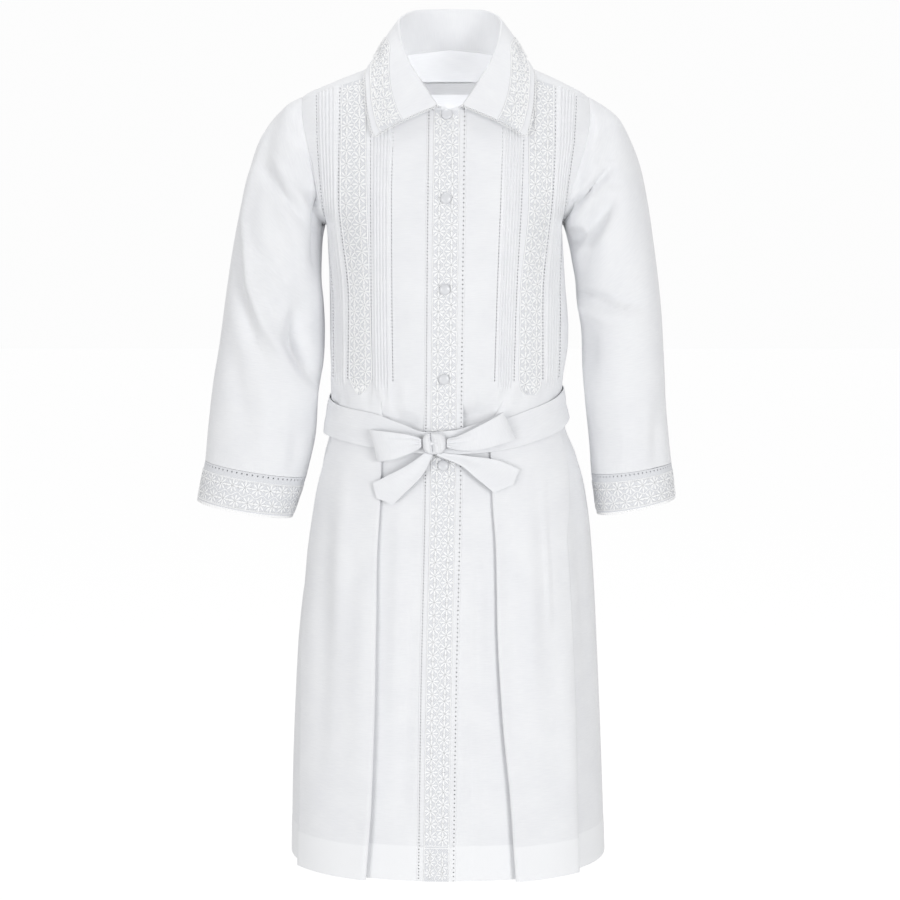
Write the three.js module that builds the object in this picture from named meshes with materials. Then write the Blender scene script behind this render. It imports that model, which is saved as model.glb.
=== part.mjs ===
// Kittel: a white button-front ritual robe with pin tucks, lace bands and a tied belt.
// It keeps the hollow form that it has when worn. Sizes are in millimetres and +Z is up.
// The front faces -Y, and +X is the wearer's left. The origin is where the wearer's
// shoulders hold it, midway between the inner ends of the shoulder seams.
import * as THREE from 'three';

// Walls and clearances
const CLOTH = 1.5;
const COLLAR_WALL = 2.2;
const STRIP = 1.2;
const LACE = 1;
const SEAM_GAP = 0.3;
const ON_PANEL = 0.35;
const SLEEVE_GAP = 2.4;
// Below the yoke's front seam: where the fronts start, and where their lace starts
const FRONT_GAP = 1.2 * SEAM_GAP;
const LACE_GAP = 4 * SEAM_GAP;
const CUFF_GAP = 1.5 * SEAM_GAP;

// Lengths
const HEM = -1176;
const UNDERARM = -228;
const BACK_SEAM = -95;
const WAIST_FLAT = -462;
const PLEATS_FORMED = -545;

const FORM_ROUNDNESS = 2.25;
const RIGHT = -1;
const LEFT = 1;
const DEG = Math.PI / 180;

// Half widths to the wearer's right and left, and depths to the front and back, by height
const BODY = [
  { z: 100, right: 70, left: 70, front: 20, back: 62 },
  { z: 36, right: 72, left: 72, front: 22, back: 64 },
  { z: 20, right: 79, left: 79, front: 30, back: 72 },
  { z: 0, right: 118, left: 118, front: 48, back: 84 },
  { z: -20, right: 168, left: 162, front: 60, back: 93 },
  { z: -43, right: 216, left: 202, front: 70, back: 99 },
  { z: -70, right: 230, left: 217, front: 82, back: 105 },
  { z: -110, right: 231, left: 220, front: 100, back: 111 },
  { z: -150, right: 223, left: 210, front: 111, back: 114 },
  { z: -190, right: 204, left: 187, front: 118, back: 114 },
  { z: UNDERARM, right: 182, left: 165, front: 121, back: 111 },
  { z: -283, right: 179, left: 168, front: 121, back: 105 },
  { z: -345, right: 178, left: 172, front: 118, back: 100 },
  { z: -400, right: 178, left: 174, front: 115, back: 98 },
  { z: -450, right: 177, left: 168, front: 112, back: 97 },
  { z: -490, right: 177, left: 166, front: 110, back: 97 },
  { z: -530, right: 178, left: 172, front: 110, back: 99 },
  { z: -567, right: 187, left: 187, front: 116, back: 107 },
  { z: -620, right: 199, left: 201, front: 127, back: 120 },
  { z: -690, right: 211, left: 211, front: 138, back: 132 },
  { z: -790, right: 224, left: 218, front: 148, back: 143 },
  { z: -900, right: 232, left: 224, front: 155, back: 150 },
  { z: -1050, right: 239, left: 231, front: 161, back: 157 },
  { z: HEM, right: 242, left: 236, front: 165, back: 162 },
];

// How far out the armhole seam lies on each side, by height
const ARMHOLE = [
  { z: -43, right: 216, left: 202 },
  { z: -70, right: 214, left: 203 },
  { z: -110, right: 206, left: 196 },
  { z: -150, right: 196, left: 184 },
  { z: -190, right: 188, left: 172 },
  { z: UNDERARM, right: 182, left: 165 },
];

// The neck seam, by angle round the body from centre front, in degrees
const NECKLINE = [
  { angle: 0, z: -62 },
  { angle: 15, z: -38 },
  { angle: 39, z: -3 },
  { angle: 65, z: 8 },
  { angle: 90, z: 14 },
  { angle: 135, z: 26 },
  { angle: 180, z: 33 },
];
const SHOULDER_ANGLE = 39;

// Distances from the centre of the body to the seams of the front, by height
const RIGHT_FRONT = [
  { z: -78, innerTucks: 84, innerEnd: 109, lace: 120, laceEnd: 155, outerTucks: 163, outerEnd: 190 },
  { z: -192, innerTucks: 87, innerEnd: 109, lace: 118, laceEnd: 157, outerTucks: 163, outerEnd: 182 },
  { z: -334, innerTucks: 87, innerEnd: 109, lace: 114, laceEnd: 144, outerTucks: 152, outerEnd: 170 },
  { z: -455, innerTucks: 86, innerEnd: 108, lace: 112, laceEnd: 146, outerTucks: 152, outerEnd: 169 },
];
const LEFT_FRONT = [
  { z: -78, innerTucks: 80, innerEnd: 102, lace: 112, laceEnd: 149, outerTucks: 156, outerEnd: 180 },
  { z: -192, innerTucks: 76, innerEnd: 98, lace: 112, laceEnd: 144, outerTucks: 149, outerEnd: 165 },
  { z: -334, innerTucks: 71, innerEnd: 91, lace: 100, laceEnd: 131, outerTucks: 138, outerEnd: 157 },
  { z: -455, innerTucks: 68, innerEnd: 88, lace: 99, laceEnd: 132, outerTucks: 138, outerEnd: 156 },
];

// Visible folds of the front's box pleats, as angles in degrees, with the gap between
// the layers and the depth that is folded under
const PLEATS = [
  { z: PLEATS_FORMED, rightInner: 29.5, rightOuter: 69, leftInner: 16, leftOuter: 64, layer: 3.2, under: 11 },
  { z: -630, rightInner: 27, rightOuter: 74, leftInner: 15, leftOuter: 56, layer: 3.8, under: 15 },
  { z: -690, rightInner: 26.5, rightOuter: 74, leftInner: 15.5, leftOuter: 50.5, layer: 4.2, under: 18 },
  { z: -800, rightInner: 25, rightOuter: 70.5, leftInner: 15.5, leftOuter: 50.5, layer: 4.8, under: 22 },
  { z: -930, rightInner: 24.5, rightOuter: 65, leftInner: 16.7, leftOuter: 49.8, layer: 5.6, under: 25 },
  { z: -1050, rightInner: 25, rightOuter: 63, leftInner: 19, leftOuter: 49, layer: 6.3, under: 27 },
  { z: HEM, rightInner: 27, rightOuter: 62.5, leftInner: 20.7, leftOuter: 49, layer: 7, under: 30 },
];
// The back's four folds, in degrees: sewn flat in the bodice, and open in the skirt
const BACK_FOLDS = { outerBodice: 133, outerSkirt: 118, innerBodice: 156, innerSkirt: 152 };

// Centre line of the button strip, which leans as it hangs
const PLACKET = [
  { z: -60, x: -4.5 },
  { z: -333, x: -7.5 },
  { z: -441, x: -8.5 },
  { z: -621, x: -10.5 },
  { z: -900, x: -16.5 },
  { z: HEM, x: -20.5 },
];
const PLACKET_HALF = 28;
const PLACKET_LACE_HALF = 18;

const TUCKS_IN_GROUP = 5;
const TUCK_HEIGHT = 1.4;

// The height at which the front's lines are measured before they are led up to the yoke
const GUIDE_ROW = -78;
const BODICE_ROWS = [-110, -150, -190, UNDERARM, -290, -370, -446];
const PLEAT_ROWS = [PLEATS_FORMED, -600, -680, -790, -920, -1050, HEM];

// Heights at which a group of tucks opens into a fold: how far it stands up and folds under
const RELEASE = [
  { z: WAIST_FLAT, rise: 0, fold: 0 },
  { z: -484, rise: 1, fold: 0 },
  { z: -508, rise: 1, fold: 0.7 },
];

// Plain interpolation and steps over the tables
function smoothTrack(rows, key, column, at) {
  const x = rows.map((row) => row[key]);
  const y = rows.map((row) => row[column]);
  const last = x.length - 1;
  const sign = Math.sign(x[last] - x[0]);
  let i = 0;
  while (i < last - 1 && (at - x[i + 1]) * sign > 0) i += 1;
  const slopeOf = (k) => (y[k + 1] - y[k]) / (x[k + 1] - x[k]);
  const tangent = (k) => {
    if (k === 0) return slopeOf(0);
    if (k === last) return slopeOf(last - 1);
    const a = slopeOf(k - 1);
    const b = slopeOf(k);
    return a * b <= 0 ? 0 : (2 * a * b) / (a + b);
  };
  const span = x[i + 1] - x[i];
  const t = Math.min(1, Math.max(0, (at - x[i]) / span));
  const t2 = t * t;
  const t3 = t2 * t;
  return (2 * t3 - 3 * t2 + 1) * y[i] + (t3 - 2 * t2 + t) * tangent(i) * span
    + (3 * t2 - 2 * t3) * y[i + 1] + (t3 - t2) * tangent(i + 1) * span;
}

function mix(a, b, t) {
  return a + (b - a) * t;
}

function sideName(side) {
  return side === RIGHT ? 'right' : 'left';
}

// The body form: angle 0 is centre front, and it grows towards the wearer's left
function halfWidth(side, z) {
  return smoothTrack(BODY, 'z', sideName(side), z);
}

function formPoint(angle, z) {
  const s = Math.sin(angle);
  const c = Math.cos(angle);
  const power = 2 / FORM_ROUNDNESS;
  const width = halfWidth(s < 0 ? RIGHT : LEFT, z);
  const depth = smoothTrack(BODY, 'z', c < 0 ? 'back' : 'front', z);
  return new THREE.Vector3(
    width * Math.sign(s) * Math.abs(s) ** power,
    -depth * Math.sign(c) * Math.abs(c) ** power,
    z,
  );
}

// Steps over which slopes on the body form are measured, in radians and in height
const TURN_STEP = 0.02;
const RISE_STEP = 3;

function formFrame(angle, z) {
  const along = formPoint(angle + TURN_STEP, z).sub(formPoint(angle - TURN_STEP, z)).normalize();
  const up = formPoint(angle, z + RISE_STEP).sub(formPoint(angle, z - RISE_STEP)).normalize();
  const out = new THREE.Vector3().crossVectors(along, up).normalize();
  return { along, up, out };
}

function onForm(angle, z, height) {
  return formPoint(angle, z).addScaledVector(formFrame(angle, z).out, height);
}

function angleAtX(x, z, atBack) {
  const side = x < 0 ? RIGHT : LEFT;
  const share = Math.min(1, Math.abs(x) / halfWidth(side, z));
  const angle = Math.asin(share ** (FORM_ROUNDNESS / 2));
  return side * (atBack ? Math.PI - angle : angle);
}

function slide(angle, z, distance) {
  const steps = 8;
  let at = angle;
  for (let i = 0; i < steps; i += 1) {
    const ahead = formPoint(at + TURN_STEP / 2, z);
    const reach = ahead.distanceTo(formPoint(at - TURN_STEP / 2, z)) / TURN_STEP;
    at += distance / steps / reach;
  }
  return at;
}

// Moves a point out until it is at least the given height above the body form
function liftClear(point, height) {
  const level = (p) => {
    const width = halfWidth(p.x < 0 ? RIGHT : LEFT, p.z);
    const depth = smoothTrack(BODY, 'z', p.y < 0 ? 'front' : 'back', p.z);
    return (Math.abs(p.x) / width) ** FORM_ROUNDNESS + (Math.abs(p.y) / depth) ** FORM_ROUNDNESS - 1;
  };
  const lifted = point.clone();
  for (let pass = 0; pass < 6; pass += 1) {
    const here = level(lifted);
    const slope = new THREE.Vector3(
      level(lifted.clone().add(new THREE.Vector3(0.5, 0, 0))) - here,
      level(lifted.clone().add(new THREE.Vector3(0, 0.5, 0))) - here,
      level(lifted.clone().add(new THREE.Vector3(0, 0, 0.5))) - here,
    ).multiplyScalar(2);
    const distance = here / slope.length();
    if (distance >= height) return lifted;
    lifted.addScaledVector(slope.normalize(), height - distance);
  }
  return lifted;
}

// Solids
function solid(points, triangles) {
  const geometry = new THREE.BufferGeometry();
  const positions = new Float32Array(points.flatMap((p) => [p.x, p.y, p.z]));
  let volume = 0;
  for (const [a, b, c] of triangles) {
    volume += points[a].dot(new THREE.Vector3().crossVectors(points[b], points[c]));
  }
  const faces = volume < 0 ? triangles.map(([a, b, c]) => [a, c, b]) : triangles;
  geometry.setAttribute('position', new THREE.BufferAttribute(positions, 3));
  geometry.setIndex(faces.flat());
  geometry.computeVertexNormals();
  return geometry;
}

// A wall between two grids of points; closed joins the last column to the first
function wall(outer, inner, closed = false) {
  const rows = outer.length;
  const columns = outer[0].length;
  const points = [...outer.flat(), ...inner.flat()];
  const front = (i, j) => i * columns + (j % columns);
  const back = (i, j) => rows * columns + front(i, j);
  const triangles = [];
  const quad = (a, b, c, d) => triangles.push([a, b, c], [a, c, d]);
  const spans = closed ? columns : columns - 1;
  for (let i = 0; i < rows - 1; i += 1) {
    for (let j = 0; j < spans; j += 1) {
      quad(front(i, j), front(i + 1, j), front(i + 1, j + 1), front(i, j + 1));
      quad(back(i, j), back(i, j + 1), back(i + 1, j + 1), back(i + 1, j));
    }
  }
  for (let j = 0; j < spans; j += 1) {
    quad(front(0, j), front(0, j + 1), back(0, j + 1), back(0, j));
    quad(front(rows - 1, j), back(rows - 1, j), back(rows - 1, j + 1), front(rows - 1, j + 1));
  }
  if (!closed) {
    const end = columns - 1;
    for (let i = 0; i < rows - 1; i += 1) {
      quad(front(i, 0), back(i, 0), back(i + 1, 0), front(i + 1, 0));
      quad(front(i, end), front(i + 1, end), back(i + 1, end), back(i, end));
    }
  }
  return solid(points, triangles);
}

// The cosine of the sharpest turn that a folded line's mitre follows
const SHARPEST_TURN = -0.4;

// Cloth on the body form. Each row is a list of { angle, z, height }, and it may fold back
// over itself: the wall is set off square to the folded line, half its thickness each way.
function clothRow(row, thickness, shift) {
  const flat = row.map(({ angle, z }) => formPoint(angle, z));
  const steps = row.slice(1).map((spot, k) => {
    const run = flat[k + 1].distanceTo(flat[k]) * Math.sign(spot.angle - row[k].angle);
    return new THREE.Vector2(run, spot.height - row[k].height).normalize();
  });
  const outer = [];
  const inner = [];
  row.forEach((spot, k) => {
    const before = steps[Math.max(0, k - 1)];
    const after = steps[Math.min(steps.length - 1, k)];
    const one = new THREE.Vector2(-before.y, before.x);
    const two = new THREE.Vector2(-after.y, after.x);
    const mitre = one.clone().add(two).divideScalar(1 + Math.max(SHARPEST_TURN, one.dot(two)));
    const { along, out } = formFrame(spot.angle, spot.z);
    const middle = flat[k].clone().addScaledVector(out, spot.height);
    middle.y += shift;
    const offset = along.multiplyScalar(mitre.x).addScaledVector(out, mitre.y);
    outer.push(middle.clone().addScaledVector(offset, thickness / 2));
    inner.push(middle.clone().addScaledVector(offset, -thickness / 2));
  });
  return { outer, inner };
}

function cloth(rows, thickness, { closed = false, shift = 0 } = {}) {
  const built = rows.map((row) => clothRow(row, thickness, shift));
  return wall(built.map((row) => row.outer), built.map((row) => row.inner), closed);
}

// A grid of free points moved out, square to the surface through them
function movedOut(grid, distance, closed = false) {
  const rows = grid.length;
  const columns = grid[0].length;
  const at = (i, j) => grid[Math.min(rows - 1, Math.max(0, i))][
    closed ? (j + columns) % columns : Math.min(columns - 1, Math.max(0, j))];
  return grid.map((row, i) => row.map((point, j) => {
    const down = at(i + 1, j).clone().sub(at(i - 1, j));
    const across = at(i, j + 1).clone().sub(at(i, j - 1));
    return point.clone().addScaledVector(across.cross(down).normalize(), distance);
  }));
}

function freeWall(grid, thickness, closed = false) {
  return wall(movedOut(grid, thickness / 2, closed), movedOut(grid, -thickness / 2, closed), closed);
}

// Seams of the yoke
function neckHeight(angle) {
  return smoothTrack(NECKLINE, 'angle', 'z', Math.abs(angle) / DEG);
}

function armholeX(side, z) {
  return side * smoothTrack(ARMHOLE, 'z', sideName(side), z);
}

// The front corners of the yoke, and how soon it drops on its way out from the neck
const YOKE_CORNER = -50;
const YOKE_DROP = 0.8;

function yokeSeam(side, t) {
  const neckAngle = side * SHOULDER_ANGLE * DEG;
  const corner = angleAtX(armholeX(side, YOKE_CORNER), YOKE_CORNER, false);
  return {
    angle: mix(neckAngle, corner, t),
    z: mix(neckHeight(neckAngle), YOKE_CORNER, t ** YOKE_DROP),
  };
}

// A point of the form, kept at least the given distance inside the line of the armhole
function insideArmhole(angle, z, distance) {
  const point = onForm(angle, z, 0);
  const side = point.x < 0 ? RIGHT : LEFT;
  const limit = Math.abs(armholeX(side, z)) - distance;
  if (Math.abs(point.x) <= limit) return point;
  return onForm(angleAtX(side * limit, z, point.y > 0), z, 0);
}

function yokeGeometry() {
  const backCorner = (side) => angleAtX(armholeX(side, BACK_SEAM), BACK_SEAM, true);
  const stations = (side) => {
    const corner = backCorner(side);
    const armholeAngle = (z) => angleAtX(armholeX(side, z), z, true);
    const edges = [
      [yokeSeam(side, 1).angle, YOKE_CORNER],
      [side * 90 * DEG, -43],
      [armholeAngle(-56), -56],
      [armholeAngle(-75), -75],
      [corner, BACK_SEAM],
      [mix(corner, side * Math.PI, 0.2), BACK_SEAM],
      [mix(corner, side * Math.PI, 0.4), BACK_SEAM],
      [mix(corner, side * Math.PI, 0.6), BACK_SEAM],
      [mix(corner, side * Math.PI, 0.8), BACK_SEAM],
      [side * Math.PI, BACK_SEAM],
    ];
    return edges.map(([edgeAngle, edgeZ], k) => {
      const neckAngle = side * mix(SHOULDER_ANGLE, 180, k / (edges.length - 1)) * DEG;
      return { neckAngle, edgeAngle, edgeZ };
    });
  };
  const left = stations(LEFT);
  const right = stations(RIGHT).reverse().slice(1).map((station) => ({
    neckAngle: station.neckAngle + 2 * Math.PI,
    edgeAngle: station.edgeAngle + 2 * Math.PI,
    edgeZ: station.edgeZ,
  }));
  const around = [...left, ...right];
  const divisions = 7;
  const grid = [];
  for (let i = 0; i <= divisions; i += 1) {
    grid.push(around.map(({ neckAngle, edgeAngle, edgeZ }) => {
      const turned = neckAngle > Math.PI ? neckAngle - 2 * Math.PI : neckAngle;
      const z = mix(neckHeight(turned), edgeZ, (i / divisions) ** YOKE_DROP);
      return insideArmhole(mix(neckAngle, edgeAngle, i / divisions), z, 4 * (divisions - i));
    }));
  }
  return freeWall(grid, CLOTH);
}

// Pleats and tucks
function pleatAt(z, column) {
  return smoothTrack(PLEATS, 'z', column, Math.min(PLEATS_FORMED, z));
}

function releaseAt(z, column) {
  if (z >= WAIST_FLAT) return 0;
  const deepest = RELEASE[RELEASE.length - 1];
  if (z < deepest.z) return 1;
  return RELEASE.find((row) => row.z === z)[column];
}

// How far the face of a box pleat stands off the body form
function faceHeight(z) {
  if (z >= WAIST_FLAT) return 0;
  const opened = Math.min(1, (WAIST_FLAT - z) / (WAIST_FLAT - RELEASE[1].z));
  return opened * 2 * pleatAt(z, 'layer');
}

// The eleven lines of a tuck group once it is folded, from the lower layer to the upper:
// distance past the visible fold, as a share of the depth and of the turn, and height in layers.
// Rise and flat are the same lines' height and distance where the fold is still opening.
const FOLD = [
  { under: 0, turn: -3, layers: 0, rise: 0, flat: -11 },
  { under: 0.5, turn: 0, layers: 0, rise: 0, flat: -6 },
  { under: 1, turn: -1, layers: 0, rise: 0, flat: -2 },
  { under: 1, turn: 0, layers: 0.5, rise: 0.3, flat: -0.6 },
  { under: 1, turn: -1, layers: 1, rise: 0.7, flat: -0.1 },
  { under: 0.5, turn: 0, layers: 1, rise: 1, flat: 0 },
  { under: 0, turn: 1, layers: 1, rise: 1.3, flat: 0.1 },
  { under: 0, turn: 0, layers: 1.5, rise: 1.7, flat: 0.6 },
  { under: 0, turn: 1, layers: 2, rise: 2, flat: 2 },
  { under: 0.5, turn: 0, layers: 2, rise: 2, flat: 6 },
  { under: 1, turn: 3, layers: 2, rise: 2, flat: 11 },
];

// One fold at one height, listed in the given way round the body. A rising fold goes
// from the lower layer to the upper one, and any other is its mirror image.
function foldSpots(foldAngle, z, way, rising, lines = FOLD) {
  const layer = pleatAt(z, 'layer');
  const rise = releaseAt(z, 'rise');
  const share = releaseAt(z, 'fold');
  const under = share * pleatAt(z, 'under');
  const facing = rising ? way : -way;
  const spots = lines.map((line) => {
    const folded = line.under * under + (line.turn * layer) / 2;
    const across = share > 0 ? folded : line.flat;
    const height = share > 0 ? line.layers * layer : line.rise * layer * rise;
    return { angle: slide(foldAngle, z, facing * across), z, height };
  });
  return rising ? spots : spots.reverse();
}

function tuckSpots(from, to, z, height) {
  const lines = 2 * TUCKS_IN_GROUP + 1;
  return Array.from({ length: lines }, (_, k) => ({
    angle: mix(from, to, k / (lines - 1)),
    z,
    height: k % 2 ? height : 0,
  }));
}

// Front panels
function frontRow(side, z) {
  const table = side === RIGHT ? RIGHT_FRONT : LEFT_FRONT;
  const seam = (name) => angleAtX(side * smoothTrack(table, 'z', name, z), z, false);
  const centre = smoothTrack(PLACKET, 'z', 'x', z);
  const strip = (distance) => angleAtX(centre + side * distance, z, false);
  const edge = z > UNDERARM ? angleAtX(armholeX(side, z), z, false) : side * 90 * DEG;
  const name = sideName(side);
  const plain = (angle, height = 0) => ({ angle, z, height });
  const quarters = (from, to, height) => [0.25, 0.5, 0.75].map((t) => plain(mix(from, to, t), height));
  const onStrip = [SEAM_GAP / 2, PLACKET_LACE_HALF, PLACKET_HALF].map((d) => plain(strip(d)));
  if (z >= WAIST_FLAT) {
    const tuck = z > WAIST_FLAT ? TUCK_HEIGHT : 0;
    return [
      ...onStrip,
      ...quarters(strip(PLACKET_HALF), seam('innerTucks')),
      ...tuckSpots(seam('innerTucks'), seam('innerEnd'), z, tuck),
      plain(seam('lace')),
      plain(mix(seam('lace'), seam('laceEnd'), 0.5)),
      plain(seam('laceEnd')),
      ...tuckSpots(seam('outerTucks'), seam('outerEnd'), z, tuck),
      plain(mix(seam('outerEnd'), edge, 0.5)),
      plain(edge),
    ];
  }
  const blend = Math.min(1, (WAIST_FLAT - z) / (WAIST_FLAT - PLEATS_FORMED));
  const middle = (from, to) => mix(seam(from), seam(to), 0.5);
  const innerFold = mix(middle('innerTucks', 'innerEnd'), side * pleatAt(z, `${name}Inner`) * DEG, blend);
  const outerFold = mix(middle('outerTucks', 'outerEnd'), side * pleatAt(z, `${name}Outer`) * DEG, blend);
  const inner = foldSpots(innerFold, z, side, true);
  const outer = foldSpots(outerFold, z, side, false);
  const face = faceHeight(z);
  const faceFrom = inner[inner.length - 1].angle;
  const faceTo = outer[0].angle;
  const sideFrom = outer[outer.length - 1].angle;
  return [
    ...onStrip,
    ...quarters(strip(PLACKET_HALF), inner[0].angle),
    ...inner,
    ...quarters(faceFrom, faceTo, face),
    ...outer,
    plain(mix(sideFrom, edge, 0.5)),
    plain(edge),
  ];
}

// Where a line at this distance from the centre meets the neck seam or the yoke
function topSpot(side, x, below) {
  const shoulder = SHOULDER_ANGLE * DEG;
  const peak = Math.abs(formPoint(side * shoulder, neckHeight(shoulder)).x);
  if (x <= peak) {
    let angle = 0;
    for (let pass = 0; pass < 16; pass += 1) angle = angleAtX(side * x, neckHeight(angle), false);
    return { angle, z: neckHeight(angle) - below };
  }
  let low = 0;
  let high = 1;
  for (let pass = 0; pass < 24; pass += 1) {
    const seam = yokeSeam(side, (low + high) / 2);
    if (Math.abs(formPoint(seam.angle, seam.z).x) < x) low = (low + high) / 2;
    else high = (low + high) / 2;
  }
  const seam = yokeSeam(side, low);
  return { angle: seam.angle, z: seam.z - below };
}

// The last line of a front ends at the yoke's corner
function frontTop(side, spots) {
  return spots.map((spot, k) => {
    const x = Math.abs(formPoint(spot.angle, spot.z).x);
    const reach = k === spots.length - 1 ? Infinity : x;
    return { ...topSpot(side, reach, FRONT_GAP), height: spot.height };
  });
}

// Rows between the yoke and the first row of the bodice
const TOP_SHARES = [0, 0.3, 0.65];

function lineX(from, to, t) {
  return mix(formPoint(from.angle, from.z).x, formPoint(to.angle, to.z).x, t);
}

function frontRows(side) {
  const first = frontRow(side, BODICE_ROWS[0]);
  const top = frontTop(side, frontRow(side, GUIDE_ROW));
  const upper = TOP_SHARES.map((t) => first.map((spot, k) => {
    const z = mix(top[k].z, spot.z, t);
    const x = k === first.length - 1 ? armholeX(side, z) : lineX(top[k], spot, t);
    return { angle: t === 0 ? top[k].angle : angleAtX(x, z, false), z, height: spot.height };
  }));
  const lower = [...BODICE_ROWS.slice(1), ...RELEASE.map((row) => row.z), ...PLEAT_ROWS];
  return [...upper, first, ...lower.map((z) => frontRow(side, z))];
}

// Back panel: a plain bodice, opening below the waist into two box pleats
const BACK_LINES = FOLD.filter((_, k) => ![1, 5, 9].includes(k));

function backRow(z) {
  const upper = z > UNDERARM;
  const edge = (side) => (upper ? angleAtX(armholeX(side, z), z, true) : side * 90 * DEG);
  const from = edge(LEFT);
  const to = edge(RIGHT) + 2 * Math.PI;
  const flatFold = (angle, rising) => {
    const way = rising ? 1 : -1;
    const spots = BACK_LINES.map((_, k) => ({
      angle: slide(angle, z, way * (k - (BACK_LINES.length - 1) / 2) * 3),
      z,
      height: 0,
    }));
    return rising ? spots : spots.reverse();
  };
  const makeFold = (degrees, rising) => (z >= WAIST_FLAT
    ? flatFold(degrees * DEG, rising)
    : foldSpots(degrees * DEG, z, 1, rising, BACK_LINES));
  const face = faceHeight(z);
  const open = Math.min(1, Math.max(0, (UNDERARM - z) / (UNDERARM - PLEATS_FORMED)));
  const outerFold = mix(BACK_FOLDS.outerBodice, BACK_FOLDS.outerSkirt, open);
  const innerFold = mix(BACK_FOLDS.innerBodice, BACK_FOLDS.innerSkirt, open);
  const one = makeFold(outerFold, true);
  const two = makeFold(innerFold, false);
  const three = makeFold(360 - innerFold, true);
  const four = makeFold(360 - outerFold, false);
  const between = (a, b, t, height) => ({ angle: mix(a.angle, b.angle, t), z, height });
  const last = (spots) => spots[spots.length - 1];
  const start = { angle: from, z, height: 0 };
  const end = { angle: to, z, height: 0 };
  return [
    start,
    between(start, one[0], 0.5, 0),
    ...one,
    between(last(one), two[0], 0.33, face),
    between(last(one), two[0], 0.67, face),
    ...two,
    between(last(two), three[0], 0.5, 0),
    ...three,
    between(last(three), four[0], 0.33, face),
    between(last(three), four[0], 0.67, face),
    ...four,
    between(last(four), end, 0.5, 0),
    end,
  ];
}

function backRows() {
  const heights = [BACK_SEAM - SEAM_GAP, -120, -150, -190, UNDERARM, -300, -390];
  return [...heights, ...RELEASE.map((row) => row.z), ...PLEAT_ROWS].map(backRow);
}

// Strips that lie on the two fronts, made from the fronts' own lines
const PLACKET_TOP = -65;

function placketRows(lines, height) {
  const right = frontRows(RIGHT);
  const left = frontRows(LEFT);
  return right.map((row, i) => {
    const centre = { angle: mix(row[0].angle, left[i][0].angle, 0.5), z: row[0].z };
    const across = [...row.slice(1, lines).reverse(), centre, ...left[i].slice(1, lines)];
    return across.map((spot) => ({ angle: spot.angle, z: Math.min(PLACKET_TOP, spot.z), height }));
  });
}

const PLACKET_HEIGHT = CLOTH / 2 + ON_PANEL + STRIP / 2;
const PLACKET_LACE_HEIGHT = PLACKET_HEIGHT + STRIP / 2 + ON_PANEL + LACE / 2;
const CHEST_LACE_HEIGHT = CLOTH / 2 + 2 * ON_PANEL + LACE / 2;

// Lace ends: the right one is pointed and the left one is round. Share of the width that is left.
const LACE_END = [
  { z: -446, right: 1, left: 1 },
  { z: -456, right: 0.86, left: 0.93 },
  { z: -465, right: 0.5, left: 0.74 },
  { z: -473, right: 0.14, left: 0.36 },
];

function chestLaceGeometry(side) {
  const table = side === RIGHT ? RIGHT_FRONT : LEFT_FRONT;
  const at = (name, z) => smoothTrack(table, 'z', name, z);
  const rowAt = (z, share) => {
    const middle = (at('lace', z) + at('laceEnd', z)) / 2;
    const reach = ((at('laceEnd', z) - at('lace', z)) / 2) * share;
    return [-1, 0, 1].map((k) => {
      const angle = angleAtX(side * (middle + k * reach), z, false);
      return { angle, z, height: faceHeight(z) + CHEST_LACE_HEIGHT };
    });
  };
  const first = rowAt(BODICE_ROWS[0], 1);
  const from = at('lace', GUIDE_ROW);
  const to = at('laceEnd', GUIDE_ROW);
  const top = [from, (from + to) / 2, to].map((x) => topSpot(side, x, LACE_GAP));
  const upper = TOP_SHARES.map((t) => first.map((spot, k) => {
    const z = mix(top[k].z, spot.z, t);
    return { angle: angleAtX(lineX(top[k], spot, t), z, false), z, height: spot.height };
  }));
  const bodice = BODICE_ROWS.slice(1, -1).map((z) => rowAt(z, 1));
  const end = LACE_END.map((row) => rowAt(row.z, row[sideName(side)]));
  return cloth([...upper, first, ...bodice, ...end], LACE);
}

// Collar: the stand rises from the neck seam, rolls over and falls over the shoulders.
// Stations run from centre back to the front end; x grows away from the centre.
const COLLAR = [
  { neck: 180, rollX: 0, rollY: 86, rollZ: 92, edgeX: 0, edgeY: 94, edgeZ: 8 },
  { neck: 152, rollX: 46, rollY: 79, rollZ: 90, edgeX: 60, edgeY: 89, edgeZ: 6 },
  { neck: 126, rollX: 66, rollY: 54, rollZ: 82, edgeX: 98, edgeY: 62, edgeZ: 5 },
  { neck: 102, rollX: 76, rollY: 22, rollZ: 68, edgeX: 114, edgeY: 24, edgeZ: 5 },
  { neck: 78, rollX: 73, rollY: -6, rollZ: 45, edgeX: 116, edgeY: -14, edgeZ: 3 },
  { neck: 56, rollX: 65, rollY: -31, rollZ: 19, edgeX: 119, edgeY: -42, edgeZ: -25 },
  { neck: 36, rollX: 54, rollY: -50, rollZ: -4, edgeX: 119, edgeY: -66, edgeZ: -52 },
  { neck: 18, rollX: 40, rollY: -67, rollZ: -25, edgeX: 114, edgeY: -85, edgeZ: -80 },
  { neck: 8, rollX: 29, rollY: -79, rollZ: -42, edgeX: 111, edgeY: -92, edgeZ: -92 },
  { neck: 2, rollX: 19, rollY: -88, rollZ: -56, edgeX: 106.5, edgeY: -97, edgeZ: -101 },
];
const COLLAR_EASE = 1;
const COLLAR_LIFT = CHEST_LACE_HEIGHT + LACE / 2 + ON_PANEL + COLLAR_WALL / 2 + COLLAR_EASE;
const COLLAR_STEPS = 12;
const ROLL = 2.4;
const COLLAR_LACE_WIDTH = 38;
const FALL_BELLY = 0.07;
const UP = new THREE.Vector3(0, 0, 1);

function collarRow(step) {
  const rows = COLLAR.map((row, i) => ({ ...row, station: i }));
  const at = (step / COLLAR_STEPS) * (COLLAR.length - 1);
  const row = {};
  for (const key of Object.keys(COLLAR[0])) row[key] = smoothTrack(rows, 'station', key, at);
  return row;
}

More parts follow.
